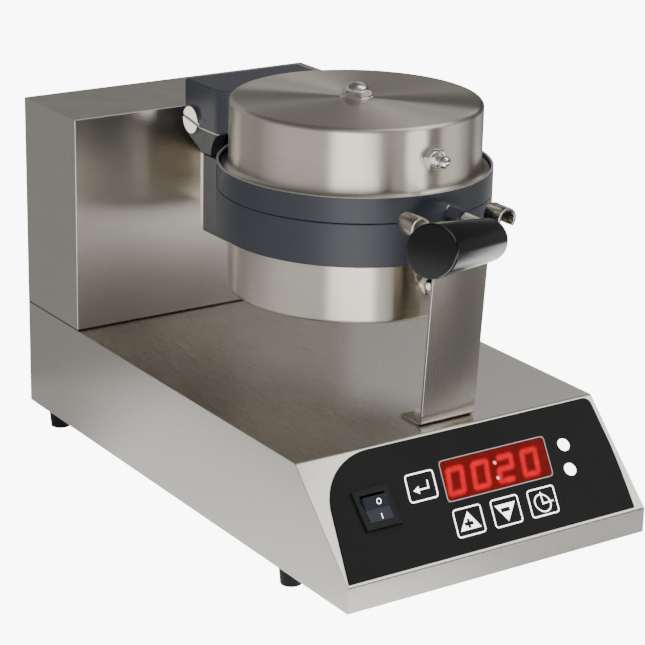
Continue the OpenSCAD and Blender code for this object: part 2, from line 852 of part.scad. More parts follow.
// inner nut, outer nut and cap nut on the stud at the front of a cover
module front_nuts(z) {
    wall_y = head_y - cover_r;
    x = head_x + front_stud_x;
    color(bright) difference() {
        union() {
            hex_y(wall_y + cover_t + 0.6, wall_y + cover_t + 4, x, z, 11);
            hex_y(wall_y - 6.2, wall_y, x, z, 14);
            hex_y(wall_y - 11.4, wall_y - 6.2, x, z, 9);
            translate([x, wall_y - 12.6, z]) sphere(r = 4.7);
        }
        rod_y(wall_y - 14, wall_y + 9, x, z, front_stud_r);
    }
}

module upper_front_stud() { front_stud(front_stud_up); }

module lower_front_stud() { front_stud(front_stud_down); }

module upper_front_nuts() { front_nuts(front_stud_up); }

module lower_front_nuts() { front_nuts(front_stud_down); }

module plate_probe() {
    color(bright) rod_y(head_y - 25, head_y + 25, head_x - 30, lower_floor - 2.6, 2.5);
}

module hinge_bushes() {
    color([0.7, 0.5, 0.25])
        for (x = [block_x0 + cheek_t + lobe_gap, block_x1 - cheek_t - lobe_gap - lobe_w])
            difference() {
                rod_x(x, x + lobe_w, pin_y, pin_z, bush_r);
                rod_x(x - 1, x + lobe_w + 1, pin_y, pin_z, pin_r + pin_running_gap);
            }
}

module hinge_pin() {
    head_t = 2.6;
    color(bright) difference() {
        union() {
            rod_x(block_x0, block_x1 + 7, pin_y, pin_z, pin_r);
            rod_x(block_x0 - head_t, block_x0, pin_y, pin_z, 10.3);
        }
        translate([block_x0 - head_t, pin_y, pin_z]) rotate([10, 0, 0])
            cube([3, 40, 2.2], center = true);
    }
}

module pin_cap() {
    color(bright) difference() {
        translate([block_x1, pin_y, pin_z]) rotate([0, 90, 0])
            cylinder(h = 8, r = 19 / sqrt(3), $fn = 6);
        rod_x(block_x1 - 1, block_x1 + 7, pin_y, pin_z, pin_r);
    }
}

module block_plan() {
    r = block_corner_r;
    translate([block_x0, block_front + r]) square([block_w, block_back - block_front - r]);
    translate([block_x0 + r, block_front]) square([block_w - 2 * r, 2 * r]);
    for (x = [block_x0 + r, block_x1 - r]) translate([x, block_front + r]) circle(r = r);
}

module upper_plate() {
    notch_depth = 24.5;
    color(coated) difference() {
        union() {
            on_head() difference() {
                rod_z(upper_low, upper_top, 0, 0, plate_r);
                rod_z(upper_low - 1, upper_low + cook_depth, 0, 0, cook_r);
            }
            on_head() translate([0, 0, upper_low + cook_depth - rib_h]) waffle_ribs();
            difference() {
                translate([0, 0, block_low]) linear_extrude(block_top - block_low) block_plan();
                on_head() rod_z(block_low - 1, upper_top, 0, 0, plate_r - 1);
            }
            intersection() {
                translate([head_x, head_y - plate_r + 4, boss_z]) rotate([90, 0, 0])
                    rotate_extrude() polygon(concat([[0, 0], [boss_r, 0]],
                        arc(boss_r - boss_edge, head_y - plate_r + 4 - boss_front - boss_edge,
                            boss_edge, 0, 90, 4),
                        [[0, head_y - plate_r + 4 - boss_front]]));
                block(head_x - 30, head_x + 30, boss_front - 1, head_y, upper_low, upper_top);
            }
        }
        on_head() rod_z(upper_ledge, block_top + 1, 0, 0, seat_r);
        on_head() rod_z(upper_floor, upper_ledge + 1, 0, 0, ledge_r);
        block(block_x0 + cheek_t, block_x1 - cheek_t, block_front + 12, block_back + 1,
            block_low - 1, block_top - 8);
        along_x(block_x0 - 1, block_w + 2)
            polygon([[block_back + 5, 255], [block_back, 250.1], [100.3, block_low + 1.2],
                [100.3, block_low - 1], [block_back + 5, block_low - 1]]);
        along_x(block_x0 - 1, block_w + 2)
            polygon([[block_back + 1, block_top - 3], [block_back + 1, block_top + 1],
                [block_back - 3, block_top + 1]]);
        for (x = [block_x0 - 1, block_x1 - notch_depth])
            rod_x(x, x + notch_depth + 1, block_front, seam_z + 0.2, 22);
        rod_x(block_x0 - 1, block_x1 + 1, pin_y, pin_z, pin_r);
        on_head() rod_z(upper_floor - 6, upper_floor + 1, 0, 0, stud_r);
        rod_y(boss_front - 1, boss_front + boss_depth, head_x, stem_z, stem_r);
    }
}

module rod_between(a, b, r) {
    d = b - a;
    translate(a) rotate([0, acos(d[2] / norm(d)), atan2(d[1], d[0])]) cylinder(h = norm(d), r = r);
}

module on_grip(along) {
    translate(stem_bend + stem_dir * along) rotate([0, 90 - grip_rise, 270 - grip_turn]) children();
}

// three straight rods that meet in two ball-shaped elbows
module handle_stem() {
    near = stem_bend + [0, bend_cut, 0];
    far = stem_bend + stem_dir * bend_cut;
    color(bright) {
        rod_between([head_x, boss_front + boss_depth, stem_z], near, stem_r);
        for (elbow = [near, far]) translate(elbow) sphere(r = stem_r * 1.3);
        rod_between(near, far, stem_r);
        rod_between(far, stem_bend + stem_dir * (grip_gap + stem_in_grip), stem_r);
    }
}

module stem_nut() {
    color(coated) difference() {
        hex_y(boss_front - stem_nut_l, boss_front, head_x, stem_z, stem_nut_flats);
        rod_y(boss_front - stem_nut_l - 1, boss_front + 1, head_x, stem_z, stem_r);
    }
}

module handle_grip() {
    color(black) difference() {
        on_grip(grip_gap) rotate_extrude() polygon(concat(
            [[0, 0]],
            arc(grip_neck_r - 4, 4, 4, 270, 360, 5),
            arc(grip_r - 2.5, grip_len - 2.5, 2.5, 0, 90, 5),
            [[0, grip_len]]));
        on_grip(grip_gap - 1) cylinder(h = stem_in_grip + 1, r = stem_r);
    }
}

housing();
bottom_plate();
bottom_screws();
feet();
foot_screws();
tower_shell();
tower_back();
tower_back_screws();
tower_screws();
head_arm();
arm_nuts();
flange_screws();
lead_sleeve();
cord_inlet();
overlay();
display_window();
display_module();
panel_board();
board_standoffs();
key_switches();
indicator_lenses();
rocker_housing();
rocker_paddle();
key_set();
key_up();
key_down();
key_timer();
power_board();
transformer();
relay();
terminal_block();
support_leg();
leg_screws();
lug_screws();
lower_plate();
lower_element();
lower_clamp();
lower_insulation();
lower_stud();
lower_cover();
lower_cover_nut();
lower_front_stud();
lower_front_nuts();
plate_probe();
hinge_bushes();
hinge_pin();
pin_cap();
upper_plate();
upper_element();
upper_clamp();
upper_insulation();
upper_stud();
upper_cover();
upper_cover_nut();
upper_front_stud();
upper_front_nuts();
handle_stem();
stem_nut();
handle_grip();
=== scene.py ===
# Waffle cone maker: finishes, printed panel, detailed steel pieces, lights and camera.
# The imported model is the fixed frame; everything here is in metres in that frame.
import json
import math

import bmesh
import bpy
import numpy as np
from mathutils import Matrix


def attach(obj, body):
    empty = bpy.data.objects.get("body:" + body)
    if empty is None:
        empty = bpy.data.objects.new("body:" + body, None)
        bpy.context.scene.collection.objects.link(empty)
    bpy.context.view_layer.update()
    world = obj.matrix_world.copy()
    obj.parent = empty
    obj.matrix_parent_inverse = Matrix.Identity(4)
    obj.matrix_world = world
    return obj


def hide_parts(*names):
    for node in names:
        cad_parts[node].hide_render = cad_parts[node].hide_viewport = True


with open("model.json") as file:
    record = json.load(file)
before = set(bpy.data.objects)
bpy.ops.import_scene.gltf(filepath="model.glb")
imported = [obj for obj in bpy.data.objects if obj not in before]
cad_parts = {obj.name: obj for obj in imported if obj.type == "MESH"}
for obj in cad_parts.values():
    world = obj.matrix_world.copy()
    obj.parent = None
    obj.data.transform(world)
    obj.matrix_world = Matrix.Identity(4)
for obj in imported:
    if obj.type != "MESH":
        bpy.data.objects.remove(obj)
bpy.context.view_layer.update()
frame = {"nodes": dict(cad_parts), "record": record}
mm = 0.001
bumpDepth = 0.2 * mm  # height of the relief in the finishes at full strength

camera = {
    "place": (-0.90376, -1.33403, 0.68698),
    "turn": 34.161,  # degrees to the right of straight ahead
    "tip": 19.219,  # degrees below level
    "roll": 1.303,
    "lens": 128.39,  # mm on a 36 mm wide sensor
}


def makeCamera(values):
    data = bpy.data.cameras.new("camera")
    data.lens = values["lens"]
    data.sensor_width = 36
    data.sensor_fit = "HORIZONTAL"
    data.clip_end = 50
    eye = bpy.data.objects.new("camera", data)
    bpy.context.scene.collection.objects.link(eye)
    turned = Matrix.Rotation(math.radians(-values["turn"]), 4, "Z")
    tipped = Matrix.Rotation(math.radians(90 - values["tip"]), 4, "X")
    rolled = Matrix.Rotation(math.radians(values["roll"]), 4, "Z")
    eye.matrix_world = Matrix.Translation(values["place"]) @ turned @ tipped @ rolled
    bpy.context.scene.camera = eye


makeCamera(camera)
print("camera placed")


def newGroup(name, inputs, outputs):
    # inputs: (name, kind, value) for each; outputs: (name, kind)
    tree = bpy.data.node_groups.new(name, "ShaderNodeTree")
    kinds = {"float": "NodeSocketFloat", "colour": "NodeSocketColor", "vector": "NodeSocketVector"}
    for label, kind, value in inputs:
        socket = tree.interface.new_socket(label, in_out="INPUT", socket_type=kinds[kind])
        if value is not None:
            socket.default_value = value
    for label, kind in outputs:
        tree.interface.new_socket(label, in_out="OUTPUT", socket_type=kinds[kind])
    return tree, tree.nodes.new("NodeGroupInput"), tree.nodes.new("NodeGroupOutput")


def plug(tree, node, values):
    # a socket is linked, anything else becomes the input's value
    for key, value in values.items():
        if isinstance(value, bpy.types.NodeSocket):
            tree.links.new(value, node.inputs[key])
        else:
            node.inputs[key].default_value = value


def addNode(tree, kind, settings=None, inputs=None):
    node = tree.nodes.new(kind)
    for key, value in (settings or {}).items():
        setattr(node, key, value)
    plug(tree, node, inputs or {})
    return node


def mathNode(tree, operation, first, second=None, third=None):
    values = {i: value for i, value in enumerate((first, second, third)) if value is not None}
    return addNode(tree, "ShaderNodeMath", {"operation": operation}, values).outputs[0]


def rescale(tree, value, low, high, newLow, newHigh):
    return addNode(tree, "ShaderNodeMapRange", None,
                   {0: value, 1: low, 2: high, 3: newLow, 4: newHigh}).outputs[0]


def scaled(tree, colour, factor):
    return addNode(tree, "ShaderNodeVectorMath", {"operation": "SCALE"},
                   {0: colour, "Scale": factor}).outputs[0]


def heightOf(tree, where):
    return addNode(tree, "ShaderNodeSeparateXYZ", None, {0: where}).outputs[2]


def noise(tree, vector, scale, detail=2.0, roughness=0.5):
    return addNode(tree, "ShaderNodeTexNoise", None, {"Vector": vector, "Scale": scale, "Detail": detail,
                   "Roughness": roughness}).outputs[0]


def finishNormal(tree, start, end, height, edge):
    # a small bump over normals that are rounded at the edges
    bevel = addNode(tree, "ShaderNodeBevel", {"samples": 6}, {"Radius": edge})
    bump = addNode(tree, "ShaderNodeBump", None, {"Strength": start.outputs["Relief"], "Distance": bumpDepth,
                   "Height": height, "Normal": bevel.outputs[0]})
    tree.links.new(bump.outputs[0], end.inputs["Normal"])


brushInputs = [("Vector", "vector", None), ("Stretch", "vector", (20, 900, 900)),
               ("Tone", "colour", (0.6, 0.6, 0.6, 1)), ("Contrast", "float", 0.08),
               ("Roughness", "float", 0.3), ("Relief", "float", 0.05), ("Edge", "float", 0.6)]
surfaceOutputs = [("Colour", "colour"), ("Roughness", "float"), ("Normal", "vector")]


def drawBrush(tree, start, end, grain):
    # fine parallel scratches: noise that is long along the grain and short across it, with slow drift
    stretched = addNode(tree, "ShaderNodeVectorMath", {"operation": "MULTIPLY"},
                        {0: grain, 1: start.outputs["Stretch"]}).outputs[0]
    fine = noise(tree, stretched, 1.0, 3.0, 0.6)
    broad = noise(tree, start.outputs["Vector"], 9.0, 2.0)
    light = rescale(tree, fine, 0.3, 0.7, -1.0, 1.0)
    factor = mathNode(tree, "MULTIPLY_ADD", light, start.outputs["Contrast"], 1.0)
    factor = mathNode(tree, "MULTIPLY", factor, rescale(tree, broad, 0.3, 0.7, 0.985, 1.015))
    tree.links.new(scaled(tree, start.outputs["Tone"], factor), end.inputs["Colour"])
    rough = mathNode(tree, "MULTIPLY_ADD", light, 0.012, start.outputs["Roughness"])
    rough = mathNode(tree, "ADD", rough, rescale(tree, broad, 0.3, 0.7, -0.005, 0.005))
    tree.links.new(rough, end.inputs["Roughness"])
    finishNormal(tree, start, end, fine, mathNode(tree, "MULTIPLY", start.outputs["Edge"], mm))


def makeBrushGroup():
    tree, start, end = newGroup("brushGrain", brushInputs, surfaceOutputs)
    drawBrush(tree, start, end, start.outputs["Vector"])
    return tree


def makeSpunGroup():
    # lathe marks: a place is turned into (angle, radius, height) about an upright axis, so that noise
    # that is long in angle runs round the piece; the seam of the angle lies at the back
    tree, start, end = newGroup("spunGrain", brushInputs + [("Centre", "vector", (0, 0, 0))], surfaceOutputs)
    moved = addNode(tree, "ShaderNodeVectorMath", {"operation": "SUBTRACT"},
                    {0: start.outputs["Vector"], 1: start.outputs["Centre"]}).outputs[0]
    apart = addNode(tree, "ShaderNodeSeparateXYZ", None, {0: moved})
    angle = mathNode(tree, "ARCTAN2", apart.outputs[0], mathNode(tree, "MULTIPLY", apart.outputs[1], -1.0))
    square = mathNode(tree, "MULTIPLY", apart.outputs[1], apart.outputs[1])
    square = mathNode(tree, "MULTIPLY_ADD", apart.outputs[0], apart.outputs[0], square)
    joined = addNode(tree, "ShaderNodeCombineXYZ", None,
                     {0: angle, 1: mathNode(tree, "SQRT", square), 2: apart.outputs[2]})
    drawBrush(tree, start, end, joined.outputs[0])
    return tree


def makeGrainGroup():
    # small even pits and colour drift, as on castings, rubber and moulded plastic
    tree, start, end = newGroup(
        "castGrain",
        [("Vector", "vector", None), ("Size", "float", 900.0), ("Tone", "colour", (0.1, 0.1, 0.1, 1)),
         ("Contrast", "float", 0.15), ("Roughness", "float", 0.5), ("Relief", "float", 0.2),
         ("Edge", "float", 0.8)], surfaceOutputs)
    fine = noise(tree, start.outputs["Vector"], start.outputs["Size"])
    broad = noise(tree, start.outputs["Vector"], 25.0, 3.0)
    light = rescale(tree, fine, 0.3, 0.7, -1.0, 1.0)
    factor = mathNode(tree, "MULTIPLY_ADD", light, start.outputs["Contrast"], 1.0)
    factor = mathNode(tree, "MULTIPLY", factor, rescale(tree, broad, 0.3, 0.7, 0.94, 1.06))
    tree.links.new(scaled(tree, start.outputs["Tone"], factor), end.inputs["Colour"])
    rough = mathNode(tree, "MULTIPLY_ADD", light, 0.04, start.outputs["Roughness"])
    tree.links.new(rough, end.inputs["Roughness"])
    finishNormal(tree, start, end, fine, mathNode(tree, "MULTIPLY", start.outputs["Edge"], mm))
    return tree


brushGroup = makeBrushGroup()
grainGroup = makeGrainGroup()
spunGroup = makeSpunGroup()


def startMaterial(name):
    material = bpy.data.materials.new(name)
    material.use_nodes = True
    tree = material.node_tree
    where = addNode(tree, "ShaderNodeTexCoord").outputs["Object"]
    return material, tree, tree.nodes["Principled BSDF"], where


def useGroup(tree, group, inputs):
    return addNode(tree, "ShaderNodeGroup", {"node_tree": group}, inputs)


def feed(tree, node, shader):
    for source, target in (("Colour", "Base Color"), ("Roughness", "Roughness"), ("Normal", "Normal")):
        tree.links.new(node.outputs[source], shader.inputs[target])


def brushedSteel(name, tone, stretch, roughness, contrast, relief, edge, seam=None):
    material, tree, shader, where = startMaterial(name)
    shader.inputs["Metallic"].default_value = 1.0
    group = useGroup(tree, brushGroup, {"Vector": where, "Stretch": stretch, "Tone": (*tone, 1),
                     "Contrast": contrast, "Roughness": roughness, "Relief": relief, "Edge": edge})
    feed(tree, group, shader)
    if seam:
        # painted shade: the tone falls to 0.06 of itself below the joint's height, standing in for the shadow
        # in the thin gap where the tower meets the base
        shade = rescale(tree, heightOf(tree, where), *seam, 0.06, 1.0)
        tree.links.new(scaled(tree, group.outputs["Colour"], shade), shader.inputs["Base Color"])
    return material


def spunSteel(name, tone, centre, roughness, contrast, relief):
    # steel spun on a lathe: its marks run round the axis and smear reflections across themselves
    material, tree, shader, where = startMaterial(name)
    shader.inputs["Metallic"].default_value = 1.0
    shader.inputs["Anisotropic"].default_value = 1.0
    shader.inputs["Anisotropic Rotation"].default_value = 0.25
    tangent = addNode(tree, "ShaderNodeTangent", {"direction_type": "RADIAL", "axis": "Z"})
    tree.links.new(tangent.outputs[0], shader.inputs["Tangent"])
    group = useGroup(tree, spunGroup, {"Vector": where, "Centre": centre, "Stretch": (3, 1500, 1500),
                     "Tone": (*tone, 1), "Contrast": contrast, "Roughness": roughness, "Relief": relief,
                     "Edge": 0.3})
    feed(tree, group, shader)
    return material


def grained(name, tone, roughness, size, contrast, relief, edge, metallic=0.0, level=0.5, paintedGlow=0.0):
    # size counts grains in a metre, edge rounds corners by so many mm, level sets the gloss, and the last
    # value adds the colour as emission: a painted glow that keeps white print white
    material, tree, shader, where = startMaterial(name)
    shader.inputs["Metallic"].default_value = metallic
    shader.inputs["Specular IOR Level"].default_value = level
    group = useGroup(tree, grainGroup, {"Vector": where, "Size": size, "Tone": (*tone, 1),
                     "Contrast": contrast, "Roughness": roughness, "Relief": relief, "Edge": edge})
    feed(tree, group, shader)
    # painted glow: the colour is also emitted, so the surface is brighter than its lighting makes it
    if paintedGlow > 0:
        tree.links.new(group.outputs["Colour"], shader.inputs["Emission Color"])
        shader.inputs["Emission Strength"].default_value = paintedGlow
    return material


def machinedCasting(name, tone, bare, rim, roughness):
    # the coated casting, with its rim turned bare between two heights
    material, tree, shader, where = startMaterial(name)
    group = useGroup(tree, grainGroup, {"Vector": where, "Size": 1100.0, "Tone": (*tone, 1), "Contrast": 0.12,
                     "Roughness": roughness, "Relief": 0.2, "Edge": 1.0})
    feed(tree, group, shader)
    height = heightOf(tree, where)
    start = rescale(tree, height, rim["from"], rim["full"], 0.0, 1.0)
    stop = rescale(tree, height, rim["upTo"], rim["upTo"] + 0.2 * mm, 1.0, 0.0)
    mask = mathNode(tree, "MULTIPLY", start, stop)
    mixed = addNode(tree, "ShaderNodeMix", {"data_type": "RGBA"},
                    {0: mask, 6: group.outputs["Colour"], 7: (*bare, 1)}).outputs[2]
    tree.links.new(mixed, shader.inputs["Base Color"])
    tree.links.new(mathNode(tree, "MULTIPLY", mask, 0.9), shader.inputs["Metallic"])
    return material


def glowingDisplay(name):
    # a dark red filter: the surface's glow value runs from the filter's own tone to lit segments
    material, tree, shader, where = startMaterial(name)
    glow = addNode(tree, "ShaderNodeAttribute", {"attribute_name": "glow"}).outputs["Fac"]
    ramp = addNode(tree, "ShaderNodeValToRGB", None, {0: glow})
    stops = ((0.0, (0.15, 0.003, 0.002)), (0.15, (0.20, 0.002, 0.003)), (0.40, (0.42, 0.0, 0.006)),
             (0.60, (0.55, 0.0, 0.006)), (0.80, (0.70, 0.0, 0.012)), (0.93, (0.82, 0.0, 0.02)),
             (1.0, (1.0, 0.70, 0.68)))
    for i, (place, tone) in enumerate(stops):
        stop = ramp.color_ramp.elements[i] if i < 2 else ramp.color_ramp.elements.new(place)
        stop.position = place
        stop.color = (*tone, 1)
    drift = rescale(tree, noise(tree, where, 180.0, 3.0), 0.3, 0.7, 0.85, 1.15)
    toned = scaled(tree, ramp.outputs[0], drift)
    tree.links.new(scaled(tree, toned, 0.1), shader.inputs["Base Color"])
    tree.links.new(toned, shader.inputs["Emission Color"])
    shader.inputs["Emission Strength"].default_value = 1.25
    shader.inputs["Roughness"].default_value = 0.3
    shader.inputs["Specular IOR Level"].default_value = 0.05
    return material


headCentre = (6 * mm, -30 * mm, 0)
grains = {  # for each finish, the values that grained takes after its name
    "brightSteel": ((0.84, 0.825, 0.80), 0.18, 600.0, 0.04, 0.02, 0.3, 1.0),
    "casting": ((0.0245, 0.0285, 0.039), 0.42, 1100.0, 0.12, 0.2, 1.2),
    "element": ((0.20, 0.18, 0.17), 0.6, 500.0, 0.2, 0.3, 0.3, 0.6),
    "fibreBoard": ((0.75, 0.73, 0.66), 0.9, 300.0, 0.15, 0.8, 0.5),
    "brass": ((0.62, 0.43, 0.18), 0.3, 700.0, 0.1, 0.1, 0.4, 1.0),
    "rubber": ((0.0045, 0.0045, 0.005), 0.5, 800.0, 0.2, 0.3, 0.8, 0.0, 0.25),
    "gripGloss": ((0.003, 0.003, 0.0035), 0.07, 60.0, 0.1, 0.01, 0.3, 0.0, 0.6),
    "panelFilm": ((0.0145, 0.0145, 0.0145), 0.5, 1600.0, 0.05, 0.06, 0.3, 0.0, 0.08),
    # panelPrint's last value is painted glow: the print emits its own colour to stay white
    "panelPrint": ((0.95, 0.95, 0.95), 0.5, 1600.0, 0.02, 0.02, 0.1, 0.0, 0.2, 3.2),
    "inkDark": ((0.016, 0.018, 0.024), 0.5, 1600.0, 0.02, 0.02, 0.1, 0.0, 0.1),
    "windowEdge": ((0.52, 0.50, 0.52), 0.4, 1600.0, 0.05, 0.02, 0.1, 0.0, 0.3),
    "switchPlastic": ((0.011, 0.0115, 0.013), 0.35, 1300.0, 0.08, 0.05, 0.5, 0.0, 0.12),
    "paddlePlastic": ((0.024, 0.028, 0.039), 0.35, 1300.0, 0.08, 0.05, 0.5, 0.0, 0.2),
    "windowRed": ((0.10, 0.010, 0.006), 0.2, 200.0, 0.05, 0.01, 0.2),
    "lensWhite": ((0.95, 0.95, 0.94), 0.35, 400.0, 0.01, 0.02, 0.4, 0.0, 0.3, 6.0),
    "boardGreen": ((0.02, 0.12, 0.05), 0.35, 500.0, 0.15, 0.1, 0.2),
    "moduleBlack": ((0.02, 0.02, 0.02), 0.5, 900.0, 0.1, 0.1, 0.3),
    "coreGrey": ((0.14, 0.12, 0.10), 0.5, 700.0, 0.2, 0.2, 0.3, 0.5),
    "relayBlue": ((0.01, 0.03, 0.16), 0.3, 900.0, 0.05, 0.05, 0.4),
    "terminalCream": ((0.62, 0.59, 0.48), 0.5, 900.0, 0.05, 0.1, 0.4),
    "sleeveCream": ((0.55, 0.50, 0.38), 0.9, 1200.0, 0.2, 0.6, 0.2),
}
finish = {name: grained(name, *settings) for name, settings in grains.items()}
finish.update({
    "housingSteel": brushedSteel("housingSteel", (0.615, 0.59, 0.548), (2200, 60, 2200), 0.28, 0.03, 0.004,
                                 0.8),
    # the tower's last pair of heights is the band of painted shade at its foot, where it meets the base
    "towerSteel": brushedSteel("towerSteel", (0.595, 0.56, 0.512), (60, 60, 2200), 0.32, 0.06, 0.03, 1.2,
                               (97.7 * mm, 98.5 * mm)),
    "stripSteel": brushedSteel("stripSteel", (0.50, 0.47, 0.415), (1800, 1800, 60), 0.22, 0.02, 0.0, 0.4),
    "coverSteel": spunSteel("coverSteel", (0.66, 0.615, 0.54), headCentre, 0.30, 0.06, 0.04),
    "machinedCasting": machinedCasting("machinedCasting", (0.0245, 0.0285, 0.039), (0.62, 0.60, 0.55),
                                       {"from": 256.1 * mm, "full": 256.25 * mm, "upTo": 256.8 * mm}, 0.42),
    "display": glowingDisplay("display"),
})

slotFinish = {
    "housing_steel": "housingSteel", "cover_steel": "coverSteel", "strip_steel": "stripSteel",
    "bright_steel": "brightSteel", "coated_casting": "casting", "element_sheath": "element",
    "insulation": "fibreBoard", "bush_brass": "brass", "black_rubber": "rubber", "grip_black": "gripGloss",
    "panel_black": "panelFilm", "switch_black": "switchPlastic", "window_red": "windowRed",
    "lens_white": "lensWhite", "board_green": "boardGreen", "module_black": "moduleBlack",
    "core_grey": "coreGrey", "relay_blue": "relayBlue", "terminal_cream": "terminalCream",
    "sleeve_cream": "sleeveCream",
}
nodeFinish = {
    "tower_shell": "towerSteel", "tower_back": "towerSteel", "upper_plate": "machinedCasting",
    "stem_nut": "casting", "rocker_paddle": "paddlePlastic",
}


def dressNodes():
    slots = {entry["node"]: entry["material_slot"] for entry in frame["record"]["subparts"]}
    for name, piece in frame["nodes"].items():
        chosen = nodeFinish.get(name, slotFinish[slots[name]])
        for i in range(len(piece.material_slots)):
            piece.material_slots[i].material = finish[chosen]


dressNodes()
print("nodes dressed")


def unit(vectors):
    return vectors / np.maximum(np.linalg.norm(vectors, axis=-1, keepdims=True), 1e-12)


def rounded(corners, radius, steps, closed=False):
    # each corner of an outline becomes an arc that touches both of its sides: the arc's centre lies on
    # the corner's bisector, and its points are blended from the first and last radius by equal angles
    corners = np.asarray(corners, float)
    before, after = np.roll(corners, 1, 0) - corners, np.roll(corners, -1, 0) - corners
    toBefore, toAfter = unit(before), unit(after)
    length = np.minimum(np.linalg.norm(before, axis=1), np.linalg.norm(after, axis=1))
    radius = np.array(np.broadcast_to(radius, len(corners)), float)
    if not closed:
        radius[[0, -1]] = 0
    half = 0.5 * np.arccos(np.clip(np.sum(toBefore * toAfter, 1), -0.999999, 0.999999))
    reach = radius / np.tan(half)
    shrink = np.minimum(1, 0.49 * length / np.maximum(reach, 1e-12))
    radius, reach = radius * shrink, reach * shrink
    centre = corners + unit(toBefore + toAfter) * (radius / np.sin(half))[:, None]
    first = corners + toBefore * reach[:, None] - centre
    last = corners + toAfter * reach[:, None] - centre
    sweep = np.pi - 2 * half
    share = np.linspace(0, 1, steps + 1)[None, :]
    weightA = np.sin((1 - share) * sweep[:, None]) / np.sin(sweep)[:, None]
    weightB = np.sin(share * sweep[:, None]) / np.sin(sweep)[:, None]
    arcs = centre[:, None] + weightA[..., None] * first[:, None] + weightB[..., None] * last[:, None]
    flat = arcs.reshape(-1, corners.shape[1])
    return flat[np.r_[True, np.linalg.norm(np.diff(flat, axis=0), axis=1) > 1e-9]]


def arc(centre, radius, first, last, steps):
    # points on a circle between two angles in degrees
    angle = np.radians(np.linspace(first, last, steps + 1))
    return np.array(centre) + radius * np.stack([np.cos(angle), np.sin(angle)], 1)


def circle(centre, radius, steps):
    # a full turn of an arc without its repeated last point
    return arc(centre, radius, 0, 360, steps)[:-1]


def axes(direction):
    # a direction and two unit vectors square to it
    direction = unit(np.asarray(direction, float))
    helper = np.array((0, 0, 1.0)) if abs(direction[2]) < 0.9 else np.array((1.0, 0, 0))
    side = unit(np.cross(helper, direction))
    return direction, side, np.cross(direction, side)


def buildMesh(name, points, wrap=True):
    # points: rows x columns x 3; neighbours are joined by quads
    rows, columns = points.shape[:2]
    ids = np.arange(rows * columns).reshape(rows, columns)
    left, right = (ids, np.roll(ids, -1, 1)) if wrap else (ids[:, :-1], ids[:, 1:])
    quads = np.stack([left[:-1], right[:-1], right[1:], left[1:]], -1).reshape(-1, 4)
    mesh = bpy.data.meshes.new(name)
    mesh.from_pydata(points.reshape(-1, 3).tolist(), [], quads.tolist())
    return mesh


def closeEnds(points):
    # a row's middle, repeated, before the first row and after the last
    ends = [np.repeat(row.mean(0)[None, None], points.shape[1], 1) for row in (points[0], points[-1])]
    return np.concatenate([ends[0], points, ends[1]])


def ringOf(side, other, steps):
    # a circle of unit radius in the plane of two square directions
    angle = np.linspace(0, 2 * np.pi, steps, endpoint=False)
    return np.cos(angle)[:, None] * side + np.sin(angle)[:, None] * other


def turnedMesh(name, profile, place, direction, steps):
    # a profile of (radius, height) turned about an axis through place
    along, side, other = axes(direction)
    profile = np.asarray(profile, float)
    return buildMesh(name, np.asarray(place, float) + profile[:, None, 1:2] * along
                     + profile[:, None, 0:1] * ringOf(side, other, steps)[None])


def travelOf(path):
    # mean direction of the two stretches that meet at each point of a path
    steps = unit(np.diff(path, axis=0))
    return unit(np.r_[steps[:1], unit(steps[1:] + steps[:-1]), steps[-1:]])


def stripMesh(name, path, across, width, thickness, edge=0.4 * mm):
    # a flat bar's section, with rounded edges, carried along a path in a plane square to across; at a bend
    # the section leans by half the turn and keeps its own size
    path, across = np.asarray(path, float), unit(np.asarray(across, float))
    travel = travelOf(path)
    normal = np.cross(across, travel)
    section = rounded([(-width / 2, -thickness / 2), (width / 2, -thickness / 2), (width / 2, thickness / 2),
                       (-width / 2, thickness / 2)], edge, 3, closed=True)
    return buildMesh(name, closeEnds(path[:, None] + section[None, :, 0:1] * across
                                     + section[None, :, 1:2] * normal[:, None]))


def tubeMesh(name, path, radius, steps=40):
    # a round section carried along a path in one plane: one axis of it stays square to that plane
    path = np.asarray(path, float)
    travel = travelOf(path)
    upright = unit(np.cross(travel[0], travel[-1]))
    side = unit(np.cross(upright[None], travel))
    angle = np.linspace(0, 2 * np.pi, steps, endpoint=False)
    return buildMesh(name, closeEnds(path[:, None] + radius * (np.cos(angle)[None, :, None] * side[:, None]
                                     + np.sin(angle)[None, :, None] * upright[None, None])))


def hexMesh(name, place, direction, flats, low, high, hole=0.0, dome=0.0, turn=0.0):
    # a hexagon: its radius at an angle is half the flats over the cosine of the angle from the nearest
    # flat's middle. Cones of 30 degrees cut the corners at both ends, and a dome may stand on the far end
    along, side, other = axes(direction)
    angle = np.linspace(0, 2 * np.pi, 144, endpoint=False)
    phase = np.mod(angle + turn, np.pi / 3) - np.pi / 6
    corner = flats / 2 / np.cos(phase)
    inner = 0.955 * flats / 2
    drop = np.maximum(corner - inner, 0) * math.tan(math.radians(30))
    flat = np.ones_like(angle)
    rows = [(hole * flat, low * flat), (inner * flat, low * flat), (corner, low + drop),
            (corner, high - drop), (inner * flat, high * flat)]
    if dome > 0:
        bow = np.linspace(0, np.pi / 2, 12)
        rows += [(inner * 0.95 * math.cos(b) * flat, (high + dome * math.sin(b)) * flat) for b in bow]
    else:
        rows += [((hole + 0.6 * mm) * flat, high * flat), (hole * flat, (high - 0.4 * mm) * flat), rows[0]]
    radius = np.array([row[0] for row in rows])
    height = np.array([row[1] for row in rows])
    return buildMesh(name, np.asarray(place, float) + height[..., None] * along
                     + radius[..., None] * ringOf(side, other, len(angle))[None])


def joinMeshes(name, meshes):
    shape = bmesh.new()
    for mesh in meshes:
        shape.from_mesh(mesh)
        bpy.data.meshes.remove(mesh)
    joined = bpy.data.meshes.new(name)
    shape.to_mesh(joined)
    shape.free()
    return joined


